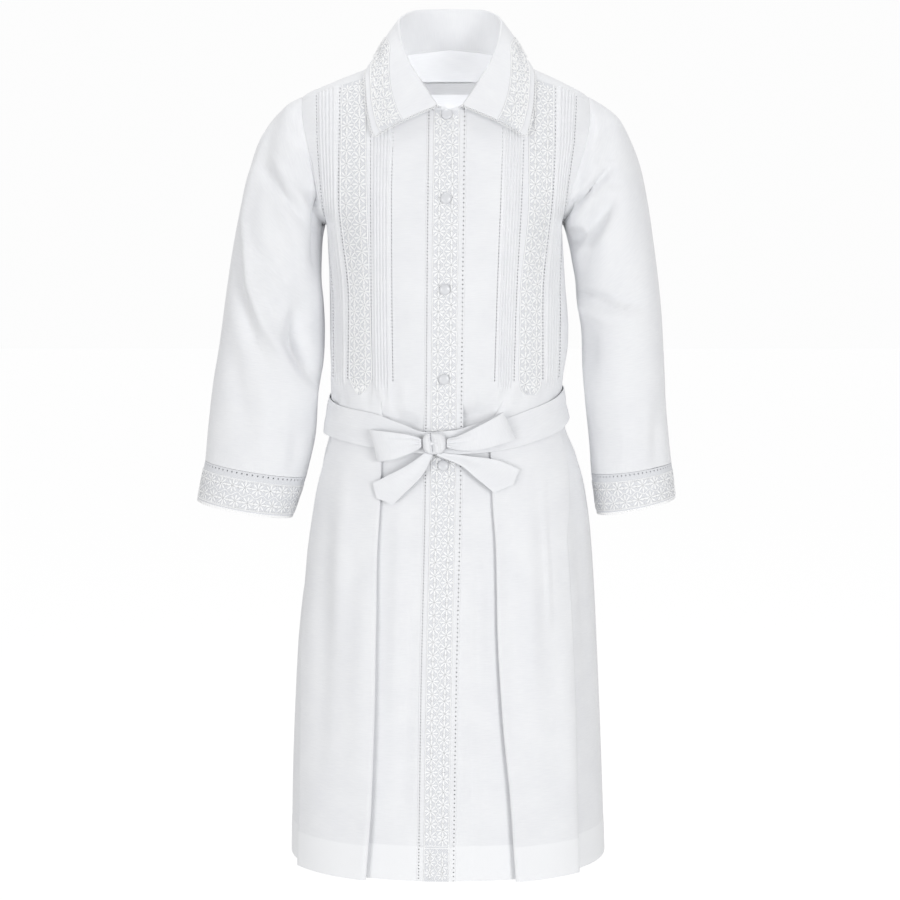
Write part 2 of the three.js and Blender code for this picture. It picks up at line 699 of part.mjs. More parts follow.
function collarSection(side, row) {
  const neck = side * row.neck * DEG;
  const seam = formPoint(neck, neckHeight(neck));
  const roll = new THREE.Vector3(side * row.rollX, row.rollY, row.rollZ);
  const edge = liftClear(new THREE.Vector3(side * row.edgeX, row.edgeY, row.edgeZ), COLLAR_LIFT);
  const outward = edge.clone().sub(seam).setZ(0).normalize();
  const start = seam.clone().addScaledVector(formFrame(neck, seam.z).up, 2);
  const standEnd = roll.clone().addScaledVector(outward, -ROLL * 0.6).addScaledVector(UP, -ROLL);
  const fallStart = liftClear(roll.clone().addScaledVector(outward, ROLL).addScaledVector(UP, -ROLL),
    COLLAR_LIFT);
  const length = fallStart.distanceTo(edge);
  const first = Math.max(0.06, 1 - COLLAR_LACE_WIDTH / length);
  const fall = [0, first / 2, first, mix(first, 0.97, 0.33), mix(first, 0.97, 0.67), 0.97, 1];
  const stand = [0, 0.35, 0.7, 1].map((t) => start.clone().lerp(standEnd, t));
  return [...stand, roll, ...fall.map((t) => {
    const point = fallStart.clone().lerp(edge, t);
    point.addScaledVector(outward, FALL_BELLY * length * Math.sin(Math.PI * t));
    return liftClear(point, COLLAR_LIFT);
  })];
}

function collarGrid() {
  const steps = Array.from({ length: COLLAR_STEPS + 1 }, (_, k) => k);
  const half = (side) => steps.map((step) => collarSection(side, collarRow(step)));
  return [...half(RIGHT).reverse(), ...half(LEFT).slice(1)];
}

// Lace on the outer face of the fall, inside a plain band along its outer edge
const LACE_INNER = { line: 7, towards: 6, share: 0.3 };
const LACE_OUTER = { line: 9, towards: 10, share: 0.45 };

function collarLaceGeometry(side) {
  const raised = movedOut(collarGrid(), -(COLLAR_WALL / 2 + 2 * ON_PANEL + LACE / 2));
  const beside = (row, { line, towards, share }) => row[line].clone().lerp(row[towards], share);
  const lace = raised.map((row) => [
    beside(row, LACE_INNER),
    ...row.slice(LACE_INNER.line, LACE_OUTER.line + 1),
    beside(row, LACE_OUTER),
  ]);
  const middle = COLLAR_STEPS;
  return freeWall(side === RIGHT ? lace.slice(0, middle) : lace.slice(middle + 1), LACE);
}

// Sleeves: each section runs from the outer line to the inner line, with its depth
const RIGHT_SLEEVE = [
  { outerX: 240, outerZ: -55, innerX: 187, innerZ: -238, depth: 64 },
  { outerX: 262, outerZ: -77, innerX: 189, innerZ: -250, depth: 67 },
  { outerX: 280, outerZ: -106, innerX: 190, innerZ: -266, depth: 69 },
  { outerX: 294, outerZ: -147, innerX: 191, innerZ: -288, depth: 70 },
  { outerX: 306, outerZ: -192, innerX: 191, innerZ: -312, depth: 69 },
  { outerX: 319, outerZ: -252, innerX: 188, innerZ: -345, depth: 68 },
  { outerX: 331, outerZ: -325, innerX: 186, innerZ: -385, depth: 66 },
  { outerX: 342, outerZ: -400, innerX: 189, innerZ: -430, depth: 63 },
  { outerX: 353, outerZ: -462, innerX: 197, innerZ: -478, depth: 60 },
  { outerX: 361, outerZ: -525, innerX: 202, innerZ: -542, depth: 57 },
  { outerX: 366.5, outerZ: -578.5, innerX: 216, innerZ: -603, depth: 54 },
];
const LEFT_SLEEVE = [
  { outerX: 226, outerZ: -55, innerX: 171, innerZ: -237, depth: 64 },
  { outerX: 247, outerZ: -73, innerX: 174, innerZ: -248, depth: 67 },
  { outerX: 264, outerZ: -103, innerX: 178, innerZ: -264, depth: 69 },
  { outerX: 279, outerZ: -141, innerX: 182, innerZ: -286, depth: 70 },
  { outerX: 290, outerZ: -189, innerX: 186, innerZ: -310, depth: 69 },
  { outerX: 300, outerZ: -250, innerX: 189, innerZ: -342, depth: 67 },
  { outerX: 312, outerZ: -340, innerX: 196, innerZ: -385, depth: 64 },
  { outerX: 318, outerZ: -420, innerX: 198, innerZ: -440, depth: 61 },
  { outerX: 322, outerZ: -490, innerX: 203, innerZ: -495, depth: 58 },
  { outerX: 327, outerZ: -543, innerX: 209, innerZ: -550, depth: 55 },
  { outerX: 331.5, outerZ: -581, innerX: 212.5, innerZ: -598, depth: 52 },
];
const RIGHT_CUFF = { outerX: 379, outerZ: -635, innerX: 236, innerZ: -661, depth: 58 };
const LEFT_CUFF = { outerX: 338, outerZ: -631, innerX: 221, innerZ: -656, depth: 56 };
const SLEEVE_POINTS = 16;

// The largest creases: a trough that winds down the front of each sleeve, by section
const RIGHT_CREASE = { from: 20, to: 205, first: 1, last: 8, depth: 7, width: 24 };
const LEFT_CREASE = { from: 35, to: 185, first: 0, last: 5, depth: 6, width: 24 };

// The armhole loop: turn 0 is the shoulder, and it goes down the front
function armholePoint(side, turn) {
  const half = (ARMHOLE[0].z - UNDERARM) / 2;
  const z = UNDERARM + half + half * Math.cos(turn);
  const x = armholeX(side, z);
  const atBack = Math.sin(turn) < 0;
  const point = formPoint(angleAtX(x, z, atBack), z);
  point.x = x + side * SLEEVE_GAP;
  return point;
}

function sleeveSection(side, row, turn) {
  const outer = new THREE.Vector3(side * row.outerX, 0, row.outerZ);
  const inner = new THREE.Vector3(side * row.innerX, 0, row.innerZ);
  const point = outer.clone().add(inner).multiplyScalar(0.5);
  point.addScaledVector(outer.sub(inner), Math.cos(turn) / 2);
  point.y = -row.depth * Math.sin(turn);
  return point;
}

function sleeveGeometry(side) {
  const table = side === RIGHT ? RIGHT_SLEEVE : LEFT_SLEEVE;
  const crease = side === RIGHT ? RIGHT_CREASE : LEFT_CREASE;
  const turns = Array.from({ length: SLEEVE_POINTS }, (_, k) => (k / SLEEVE_POINTS) * 2 * Math.PI);
  const rings = [turns.map((turn) => armholePoint(side, turn))];
  table.forEach((row, i) => {
    const centre = sleeveSection(side, row, 0).add(sleeveSection(side, row, Math.PI)).multiplyScalar(0.5);
    const share = (i - crease.first) / (crease.last - crease.first);
    const at = mix(crease.from, crease.to, share) * DEG;
    const strength = share < 0 || share > 1 ? 0 : Math.sin(Math.PI * Math.min(1, share + 0.15)) ** 0.5;
    rings.push(turns.map((turn) => {
      const away = (turn - at) / (crease.width * DEG);
      const trough = crease.depth * strength * Math.exp(-away * away);
      const point = sleeveSection(side, row, turn);
      return point.addScaledVector(centre.clone().sub(point).normalize(), trough);
    }));
  });
  return freeWall(rings, CLOTH, true);
}

function cuffGeometry(side) {
  const table = side === RIGHT ? RIGHT_SLEEVE : LEFT_SLEEVE;
  const top = table[table.length - 1];
  const bottom = side === RIGHT ? RIGHT_CUFF : LEFT_CUFF;
  const turns = Array.from({ length: SLEEVE_POINTS }, (_, k) => (k / SLEEVE_POINTS) * 2 * Math.PI);
  const depthOfBand = top.outerZ - bottom.outerZ;
  const rings = [0, 1, 2, 3].map((k) => {
    const t = mix(CUFF_GAP / depthOfBand, 1, k / 3);
    const row = {};
    for (const key of Object.keys(top)) row[key] = mix(top[key], bottom[key], t);
    return turns.map((turn) => sleeveSection(side, row, turn));
  });
  return freeWall(rings, STRIP, true);
}

// Belt, by angle round the body in degrees: its top and bottom edges
const BELT = [
  { angle: -180, top: -468, bottom: -518 },
  { angle: -120, top: -474, bottom: -526 },
  { angle: -85, top: -483, bottom: -537 },
  { angle: -60, top: -491, bottom: -541 },
  { angle: -36, top: -498, bottom: -549 },
  { angle: -21, top: -511, bottom: -553 },
  { angle: -9, top: -523, bottom: -556 },
  { angle: 0, top: -521, bottom: -557 },
  { angle: 12, top: -510, bottom: -555 },
  { angle: 26, top: -504, bottom: -550 },
  { angle: 38, top: -495, bottom: -543 },
  { angle: 60, top: -482, bottom: -530 },
  { angle: 85, top: -470, bottom: -516 },
  { angle: 120, top: -466, bottom: -514 },
  { angle: 180, top: -468, bottom: -518 },
];
const BELT_HEIGHT = 9.6;
const BELT_STEPS = 60;
const BELT_WALL = 1.6;

function beltGeometry() {
  const rows = [0, 0.5, 1].map((t) => Array.from({ length: BELT_STEPS }, (_, k) => {
    const angle = mix(-180, 180, k / BELT_STEPS);
    const z = mix(smoothTrack(BELT, 'angle', 'top', angle), smoothTrack(BELT, 'angle', 'bottom', angle), t);
    return onForm(angle * DEG, z, BELT_HEIGHT);
  }));
  return freeWall(rows, BELT_WALL, true);
}

// Bow at the front: places are given across and up, with the height off the body form
const KNOT = { x: -22, z: -540, halfWidth: 16, halfHeight: 17, points: 16 };
const KNOT_PROFILE = [
  { share: 0.8, height: 11.4 },
  { share: 1, height: 14 },
  { share: 1, height: 20 },
  { share: 0.82, height: 24.5 },
  { share: 0.4, height: 26.5 },
];

function onFront(x, z, height) {
  return onForm(angleAtX(x, z, false), z, height);
}

function knotGeometry() {
  const rings = KNOT_PROFILE.map(({ share, height }) => Array.from({ length: KNOT.points }, (_, k) => {
    const turn = (k / KNOT.points) * 2 * Math.PI;
    const squared = (value) => Math.sign(value) * Math.abs(value) ** 0.75;
    const x = KNOT.x + share * KNOT.halfWidth * squared(Math.cos(turn));
    const z = KNOT.z + share * KNOT.halfHeight * squared(Math.sin(turn));
    return onFront(x, z, height);
  }));
  const points = rings.flat();
  const count = KNOT.points;
  const triangles = [];
  for (let i = 0; i < rings.length - 1; i += 1) {
    for (let k = 0; k < count; k += 1) {
      const next = (k + 1) % count;
      triangles.push([i * count + k, (i + 1) * count + k, (i + 1) * count + next]);
      triangles.push([i * count + k, (i + 1) * count + next, i * count + next]);
    }
  }
  const back = points.push(onFront(KNOT.x, KNOT.z, KNOT_PROFILE[0].height)) - 1;
  const front = points.push(onFront(KNOT.x, KNOT.z, KNOT_PROFILE[KNOT_PROFILE.length - 1].height + 0.6)) - 1;
  const lastRing = (rings.length - 1) * count;
  for (let k = 0; k < count; k += 1) {
    const next = (k + 1) % count;
    triangles.push([back, k, next], [front, lastRing + next, lastRing + k]);
  }
  return solid(points, triangles);
}

// A loop is a strip that leaves the knot, folds at its far end and comes back behind.
// Stations give the strip's two edges and its height in front and behind.
const RIGHT_LOOP = [
  { topX: -39.6, topZ: -533, lowX: -39.6, lowZ: -547, front: 19, back: 13 },
  { topX: -54, topZ: -526, lowX: -52, lowZ: -556, front: 25, back: 12.5 },
  { topX: -80, topZ: -522, lowX: -74, lowZ: -565, front: 27, back: 12.2 },
  { topX: -101, topZ: -521, lowX: -92, lowZ: -568, front: 23, back: 12.4 },
  { topX: -108.5, topZ: -521, lowX: -98.5, lowZ: -569, front: 18, back: 14.5 },
];
const LEFT_LOOP = [
  { topX: -4.4, topZ: -533, lowX: -4.4, lowZ: -547, front: 19, back: 13 },
  { topX: 14, topZ: -526, lowX: 15, lowZ: -552, front: 25, back: 12.5 },
  { topX: 40, topZ: -512, lowX: 44, lowZ: -551, front: 27, back: 12.2 },
  { topX: 62, topZ: -500, lowX: 76, lowZ: -541, front: 23, back: 12.4 },
  { topX: 71, topZ: -495, lowX: 88, lowZ: -536, front: 18, back: 14.5 },
];
const RIGHT_TAIL = [
  { topX: -35, topZ: -555.6, lowX: -24, lowZ: -558, front: 14 },
  { topX: -60, topZ: -574, lowX: -38, lowZ: -586, front: 15 },
  { topX: -85, topZ: -588, lowX: -58, lowZ: -607, front: 13.5 },
  { topX: -107, topZ: -600, lowX: -79, lowZ: -628, front: 12 },
];
const LEFT_TAIL = [
  { topX: -9, topZ: -555.2, lowX: -20, lowZ: -558, front: 14 },
  { topX: 32, topZ: -560, lowX: 14, lowZ: -572, front: 11.5 },
  { topX: 66, topZ: -566, lowX: 38, lowZ: -592, front: 12.5 },
  { topX: 96, topZ: -580, lowX: 61, lowZ: -611, front: 12 },
];
const STRIP_POINTS = 5;

function stripRow(station, height) {
  return Array.from({ length: STRIP_POINTS }, (_, k) => {
    const t = k / (STRIP_POINTS - 1);
    const x = mix(station.topX, station.lowX, t);
    const z = mix(station.topZ, station.lowZ, t);
    return onFront(x, z, height);
  });
}

function loopGeometry(stations) {
  const out = stations.map((station) => stripRow(station, station.front));
  const back = stations.map((station) => stripRow(station, station.back)).reverse();
  return freeWall([...out, ...back], CLOTH);
}

function tailGeometry(stations) {
  return freeWall(stations.map((station) => stripRow(station, station.front)), CLOTH);
}

// Buttons: round and gently domed, down the centre of the placket
const BUTTON_RADIUS = 8;
const BUTTON_THICKNESS = 4;
const BUTTON_BEVEL = 0.6;
const BUTTON_SEGMENTS = 16;
const BUTTON_HEIGHTS = [-72, -190, -318, -447, -572];

function buttonGeometry() {
  const profile = [
    [0, 0],
    [BUTTON_RADIUS - BUTTON_BEVEL, 0],
    [BUTTON_RADIUS, BUTTON_BEVEL],
    [BUTTON_RADIUS, 0.4 * BUTTON_THICKNESS],
    [BUTTON_RADIUS - BUTTON_BEVEL, 0.6 * BUTTON_THICKNESS],
    [0.6 * BUTTON_RADIUS, 0.9 * BUTTON_THICKNESS],
    [0, BUTTON_THICKNESS],
  ];
  return new THREE.LatheGeometry(profile.map(([x, y]) => new THREE.Vector2(x, y)), BUTTON_SEGMENTS);
}

function placeButton(mesh, z) {
  const angle = angleAtX(smoothTrack(PLACKET, 'z', 'x', z), z, false);
  const { out } = formFrame(angle, z);
  const lift = PLACKET_LACE_HEIGHT + LACE / 2 + 2 * ON_PANEL;
  mesh.position.copy(onForm(angle, z, lift));
  mesh.quaternion.setFromUnitVectors(new THREE.Vector3(0, 1, 0), out);
}

// Label on the inside of the yoke
const LABEL = { half: 45, top: -16, bottom: -33, clear: 1.6 };

function labelGeometry() {
  const lift = -(CLOTH / 2 + ON_PANEL + STRIP / 4) - LABEL.clear;
  const rows = [LABEL.top, (LABEL.top + LABEL.bottom) / 2, LABEL.bottom].map((z) => (
    [1, 0.5, 0, -0.5, -1].map((k) => {
      const angle = angleAtX(k * LABEL.half, z, true);
      return onForm(angle, z, lift);
    })));
  return freeWall(rows, STRIP / 2);
}

// Materials
function cottonMaterial() {
  return new THREE.MeshStandardMaterial({
    color: 0xf4f5f7,
    roughness: 0.85,
    metalness: 0,
    side: THREE.DoubleSide,
  });
}

function laceMaterial() {
  return new THREE.MeshStandardMaterial({
    color: 0xe9eaec,
    roughness: 0.9,
    metalness: 0,
    side: THREE.DoubleSide,
  });
}

function buttonMaterial() {
  return new THREE.MeshStandardMaterial({ color: 0xf1f0ec, roughness: 0.35, metalness: 0 });
}

function labelMaterial() {
  return new THREE.MeshStandardMaterial({ color: 0xc9cacc, roughness: 0.8, metalness: 0 });
}

const kittel = new THREE.Group();

function add(name, geometry, material) {
  const mesh = new THREE.Mesh(geometry, material);
  mesh.name = name;
  kittel.add(mesh);
  return mesh;
}

const cotton = cottonMaterial();
const lace = laceMaterial();

add('yoke', yokeGeometry(), cotton);
add('back', cloth(backRows(), CLOTH, { shift: SEAM_GAP / 2 }), cotton);
add('placket', cloth(placketRows(3, PLACKET_HEIGHT), STRIP), cotton);
add('placket_lace', cloth(placketRows(2, PLACKET_LACE_HEIGHT), LACE), lace);
add('collar', freeWall(collarGrid(), COLLAR_WALL), cotton);
add('belt', beltGeometry(), cotton);
add('bow_knot', knotGeometry(), cotton);
add('label', labelGeometry(), labelMaterial());
for (const side of [RIGHT, LEFT]) {
  const name = sideName(side);
  const front = frontRows(side);
  add(`front_${name}`, cloth(front, CLOTH, { shift: -SEAM_GAP / 2 }), cotton);
  add(`chest_lace_${name}`, chestLaceGeometry(side), lace);
  add(`collar_lace_${name}`, collarLaceGeometry(side), lace);
  add(`sleeve_${name}`, sleeveGeometry(side), cotton);
  add(`cuff_${name}`, cuffGeometry(side), lace);
  add(`bow_loop_${name}`, loopGeometry(side === RIGHT ? RIGHT_LOOP : LEFT_LOOP), cotton);
  add(`bow_tail_${name}`, tailGeometry(side === RIGHT ? RIGHT_TAIL : LEFT_TAIL), cotton);
}
BUTTON_HEIGHTS.forEach((z, i) => {
  placeButton(add(`button_${i + 1}`, buttonGeometry(), buttonMaterial()), z);
});

export default kittel;
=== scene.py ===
"""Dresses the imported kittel: cotton cloth with pin tucks and box pleats, lace, belt and buttons."""
import math

import bmesh
import bpy
import numpy as np
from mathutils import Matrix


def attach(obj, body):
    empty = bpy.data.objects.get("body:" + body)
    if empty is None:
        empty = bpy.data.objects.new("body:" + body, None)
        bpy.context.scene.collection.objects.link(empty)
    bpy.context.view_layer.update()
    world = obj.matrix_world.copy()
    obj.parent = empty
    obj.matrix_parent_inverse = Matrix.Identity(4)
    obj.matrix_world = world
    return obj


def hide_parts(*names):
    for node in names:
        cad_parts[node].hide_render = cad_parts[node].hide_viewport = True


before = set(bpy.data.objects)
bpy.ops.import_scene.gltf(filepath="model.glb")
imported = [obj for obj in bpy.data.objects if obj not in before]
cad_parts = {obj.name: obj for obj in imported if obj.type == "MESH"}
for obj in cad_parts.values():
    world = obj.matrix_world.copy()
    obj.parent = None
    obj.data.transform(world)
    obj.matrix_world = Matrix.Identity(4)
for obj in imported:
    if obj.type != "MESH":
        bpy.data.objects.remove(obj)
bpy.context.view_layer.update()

MM = 0.001
RIGHT, LEFT = -1, 1
SIDES = ((RIGHT, "right"), (LEFT, "left"))

# Sizes of the cut in millimetres, as in the part's source
CLOTH = 0.9
COLLAR_WALL = 1.6
NET = 0.4
THREAD = 0.55
HEM = -1176
HEM_DEPTH = 52
HEM_LINE = HEM + HEM_DEPTH
UNDERARM = -228
BACK_SEAM = -95
WAIST_FLAT = -462
SKIRT_OPEN = -530
PLEATS_FORMED = -545
ROUNDNESS = 2.25
# Gaps that keep one panel off the next
YOKE_GAP, BACK_GAP, SIDE_GAP = 0.36, 0.3, 0.15

# Height, then half width to the wearer's right and left, and depth to the front and back
BODY = np.array([
    [100, 70, 70, 20, 62], [36, 72, 72, 22, 64], [20, 79, 79, 30, 72], [0, 118, 118, 48, 84],
    [-20, 168, 162, 60, 93], [-43, 216, 202, 70, 99], [-70, 230, 217, 82, 105],
    [-110, 231, 220, 100, 111], [-150, 223, 210, 111, 114], [-190, 204, 187, 118, 114],
    [-228, 182, 165, 121, 111], [-283, 179, 168, 121, 105], [-345, 178, 172, 118, 100],
    [-400, 178, 174, 115, 98], [-450, 177, 168, 112, 97], [-490, 177, 166, 110, 97],
    [-530, 178, 172, 110, 99], [-567, 187, 187, 116, 107], [-620, 199, 201, 127, 120],
    [-690, 211, 211, 138, 132], [-790, 224, 218, 148, 143], [-900, 232, 224, 155, 150],
    [-1050, 239, 231, 161, 157], [-1176, 242, 236, 165, 162],
], float)
# Height, then how far out the armhole seam lies on the right and on the left
ARMHOLE = np.array([
    [-43, 216, 202], [-70, 214, 203], [-110, 206, 196], [-150, 196, 184],
    [-190, 188, 172], [-228, 182, 165],
], float)
# Angle from centre front, in degrees, and height of the neck seam
NECKLINE = np.array([[0, -62], [15, -38], [39, -3], [65, 8], [90, 14], [135, 26], [180, 33]], float)
SHOULDER = math.radians(39)
YOKE_CORNER = -50
# Height, then distances from centre: inner tucks from and to, lace from and to, outer tucks
FRONT_SEAMS = {
    RIGHT: np.array([
        [-78, 84, 109, 120, 155, 163, 190], [-192, 87, 109, 118, 157, 163, 182],
        [-334, 87, 109, 114, 144, 152, 170], [-455, 86, 108, 112, 146, 152, 169],
    ], float),
    LEFT: np.array([
        [-78, 80, 102, 112, 149, 156, 180], [-192, 76, 98, 112, 144, 149, 165],
        [-334, 71, 91, 100, 131, 138, 157], [-455, 68, 88, 99, 132, 138, 156],
    ], float),
}
# Height, then the folds' angles: right inner and outer, left inner and outer; layer gap and tuck-under
PLEATS = np.array([
    [-545, 29.5, 69, 16, 64, 3.2, 11], [-630, 27, 74, 15, 56, 3.8, 15],
    [-690, 26.5, 74, 15.5, 50.5, 4.2, 18], [-800, 25, 70.5, 15.5, 50.5, 4.8, 22],
    [-930, 24.5, 65, 16.7, 49.8, 5.6, 25], [-1050, 25, 63, 19, 49, 6.3, 27],
    [-1176, 27, 62.5, 20.7, 49, 7, 30],
], float)
# A fold's lines: share of the tuck-under, turns of half a layer, layers of height
FOLD = np.array([
    [0, -3, 0], [0.5, 0, 0], [1, -1, 0], [1, 0, 0.5], [1, -1, 1], [0.5, 0, 1],
    [0, 1, 1], [0, 0, 1.5], [0, 1, 2], [0.5, 0, 2], [1, 3, 2],
], float)
BACK_FOLDS = {"outer": (133, 118), "inner": (156, 152)}
# Height and place of the button strip's centre line
PLACKET = np.array([
    [-60, -4.5], [-333, -7.5], [-441, -8.5], [-621, -10.5], [-900, -16.5], [-1176, -20.5],
], float)


# Small helpers for points and tables
def unit(v):
    return v / np.maximum(np.linalg.norm(v, axis=-1, keepdims=True), 1e-12)


def mix(a, b, t):
    return a + (b - a) * t


def smooth(t):
    t = np.clip(t, 0, 1)
    return t * t * (3 - 2 * t)


def track(table, column, at):
    """Monotone cubic through one column of a table, read at each value of its first column."""
    rows = table[np.argsort(table[:, 0])]
    x, y = rows[:, 0], rows[:, column]
    slopes = np.diff(y) / np.diff(x)
    product = slopes[:-1] * slopes[1:]
    total = slopes[:-1] + slopes[1:]
    inner = np.where(product > 0, 2 * product / np.where(total == 0, 1, total), 0)
    tangents = np.concatenate([slopes[:1], inner, slopes[-1:]])
    at = np.clip(at, x[0], x[-1])
    i = np.clip(np.searchsorted(x, at, side="right") - 1, 0, len(x) - 2)
    span = x[i + 1] - x[i]
    t = (at - x[i]) / span
    t2, t3 = t * t, t * t * t
    return ((2 * t3 - 3 * t2 + 1) * y[i] + (t3 - 2 * t2 + t) * tangents[i] * span
            + (3 * t2 - 2 * t3) * y[i + 1] + (t3 - t2) * tangents[i + 1] * span)


def curve_through(points, spans):
    """Catmull-Rom points through the rows of an array, with so many spans between rows."""
    padded = np.concatenate([2 * points[:1] - points[1:2], points, 2 * points[-1:] - points[-2:-1]])
    count = (len(points) - 1) * spans + 1
    at = np.arange(count) / spans
    i = np.minimum(at.astype(int), len(points) - 2)
    t = (at - i).reshape((-1,) + (1,) * (points.ndim - 1))
    a, b, c, d = (padded[i + k] for k in range(4))
    return b + t * ((c - a) / 2 + t * (a - 2.5 * b + 2 * c - d / 2 + t * (1.5 * (b - c) + (d - a) / 2)))


# The body form: angle 0 is centre front, and it grows towards the wearer's left
def half_width(left, z):
    return np.where(left, track(BODY, 2, z), track(BODY, 1, z))


def form(angle, z):
    s, c = np.sin(angle), np.cos(angle)
    power = 2 / ROUNDNESS
    width = half_width(s >= 0, z)
    depth = np.where(c < 0, track(BODY, 4, z), track(BODY, 3, z))
    x = width * np.sign(s) * np.abs(s) ** power
    y = -depth * np.sign(c) * np.abs(c) ** power
    return np.stack([x, y, z + 0 * s], -1)


def form_up(angle, z):
    return unit(form(angle, z + 3) - form(angle, z - 3))


def form_out(angle, z):
    along = unit(form(angle + 0.02, z) - form(angle - 0.02, z))
    return unit(np.cross(along, form_up(angle, z)))


def on_form(angle, z, height=0.0):
    return form(angle, z) + form_out(angle, z) * np.expand_dims(np.asarray(height, float), -1)


def angle_at(x, z, back=False):
    share = np.minimum(1, np.abs(x) / half_width(x >= 0, z))
    angle = np.arcsin(share ** (ROUNDNESS / 2))
    return np.where(x < 0, -1, 1) * (math.pi - angle if back else angle)


def slide(angle, z, distance):
    for _ in range(8):
        reach = np.linalg.norm(form(angle + 0.01, z) - form(angle - 0.01, z), axis=-1) / 0.02
        angle = angle + distance / 8 / reach
    return angle


def lift_clear(points, height):
    """Moves points out until they are at least so far above the body form."""
    def level(p):
        width = half_width(p[..., 0] >= 0, p[..., 2])
        depth = np.where(p[..., 1] < 0, track(BODY, 3, p[..., 2]), track(BODY, 4, p[..., 2]))
        return (np.abs(p[..., 0]) / width) ** ROUNDNESS + (np.abs(p[..., 1]) / depth) ** ROUNDNESS - 1

    lifted = points.copy()
    for _ in range(6):
        here = level(lifted)
        slope = np.stack([level(lifted + 0.5 * axis) - here for axis in np.eye(3)], -1) * 2
        distance = here / np.maximum(np.linalg.norm(slope, axis=-1), 1e-9)
        short = np.maximum(0, height - distance)
        lifted += unit(slope) * short[..., None]
    return lifted


def neck_height(angle):
    return track(NECKLINE, 1, np.degrees(np.abs(angle)))


def armhole_x(side, z):
    return side * track(ARMHOLE, 1 if side == RIGHT else 2, z)


def yoke_seam(side, t):
    corner = angle_at(np.array(armhole_x(side, YOKE_CORNER)), YOKE_CORNER)
    return mix(side * SHOULDER, corner, t), mix(neck_height(SHOULDER), YOKE_CORNER, t ** 0.8)


# Creases: each is a line of places across and up, with its width and its height
def crease_height(across, up, creases):
    total = np.zeros_like(across)
    place = np.stack([across, up], -1)[..., None, :]
    for width, height, *line in creases:
        line = np.array(line, float)
        start, step = line[:-1], np.diff(line, axis=0)
        share = np.clip(((place - start) * step).sum(-1) / (step ** 2).sum(-1), 0, 1)
        gap = np.linalg.norm(place - start - share[..., None] * step, axis=-1)
        nearest = gap.argmin(-1)[..., None]
        along = (nearest + np.take_along_axis(share, nearest, -1))[..., 0] / len(step)
        near = np.take_along_axis(gap, nearest, -1)[..., 0]
        total += height * np.sin(math.pi * (0.04 + 0.92 * along)) ** 0.7 * np.exp(-(near / width) ** 2)
    return total


# Meshes
def grid_normals(grid, closed=False):
    if closed:
        across = np.roll(grid, -1, 1) - np.roll(grid, 1, 1)
    else:
        across = np.gradient(grid, axis=1)
    return unit(np.cross(across, np.gradient(grid, axis=0)))


def developed(grid, closed=False):
    """Each point's place on the flat cloth: across from the first column, and down from the top."""
    looped = np.concatenate([grid, grid[:, :1]], 1) if closed else grid
    across = np.linalg.norm(np.diff(looped, axis=1), axis=-1).cumsum(1)
    across = np.concatenate([np.zeros((len(grid), 1)), across], 1)
    middle = looped[:, looped.shape[1] // 2]
    down = np.concatenate([[0], np.linalg.norm(np.diff(middle, axis=0), axis=-1).cumsum()])
    return np.stack([across, np.broadcast_to(down[:, None], across.shape)], -1)


def shell(grid, thickness, closed=False, holes=None):
    """A thin closed wall on both sides of a grid of points, without the quads marked as holes."""
    rows, columns = grid.shape[:2]
    spans = columns if closed else columns - 1
    keep = np.ones((rows - 1, spans), bool) if holes is None else ~holes
    offset = grid_normals(grid, closed) * thickness / 2
    points = np.concatenate([(grid + offset).reshape(-1, 3), (grid - offset).reshape(-1, 3)])
    flat = developed(grid, closed)
    i, j = np.meshgrid(np.arange(rows - 1), np.arange(spans), indexing="ij")
    corner_rows = np.stack([i, i + 1, i + 1, i], -1)
    corner_columns = np.stack([j, j, j + 1, j + 1], -1)
    corners = corner_rows * columns + corner_columns % columns
    cloth_uv = flat[corner_rows, corner_columns]
    below = rows * columns
    around = np.pad(keep, 1)
    if closed:
        around[1:-1, 0], around[1:-1, -1] = keep[:, -1], keep[:, 0]
    # The neighbours across a quad's four edges, in the order of its corners
    beside = [around[1:-1, :-2], around[2:, 1:-1], around[1:-1, 2:], around[:-2, 1:-1]]
    quads, uvs = [corners[keep], corners[keep][:, ::-1] + below], [cloth_uv[keep], cloth_uv[keep][:, ::-1]]
    for edge, other in enumerate(beside):
        open_edge = keep & ~other
        p, q = corners[open_edge][:, edge], corners[open_edge][:, (edge + 1) % 4]
        quads.append(np.stack([q, p, p + below, q + below], -1))
        u, w = cloth_uv[open_edge][:, edge], cloth_uv[open_edge][:, (edge + 1) % 4]
        uvs.append(np.stack([w, u, u, w], 1))
    return points, np.concatenate(quads), np.concatenate(uvs)


def threads(paths, normals, half_width_mm, half_height_mm, closed=True):
    """Four-sided threads along many paths of equal length. Their width may change along them."""
    ahead = np.roll(paths, -1, 1) - np.roll(paths, 1, 1) if closed else np.gradient(paths, axis=1)
    side = unit(np.cross(normals, ahead)) * np.reshape(half_width_mm, (-1, 1))
    up = normals * half_height_mm
    rings = np.stack([paths + side, paths + up, paths - side, paths - up], 2)
    index = np.arange(rings[..., 0].size).reshape(rings.shape[:3])
    here, there = (index, np.roll(index, -1, 1)) if closed else (index[:, :-1], index[:, 1:])
    quads = np.stack([here, np.roll(here, -1, 2), np.roll(there, -1, 2), there], -1).reshape(-1, 4)
    if not closed:
        quads = np.concatenate([quads, index[:, 0, ::-1], index[:, -1]])
    points = rings.reshape(-1, 3)
    return points, quads, points[quads][..., [0, 2]]


def joined(parts):
    points, quads, uvs = zip(*parts)
    offsets = np.cumsum([0] + [len(part) for part in points[:-1]])
    quads = [part + offset for part, offset in zip(quads, offsets)]
    return np.concatenate(points), np.concatenate(quads), np.concatenate(uvs)


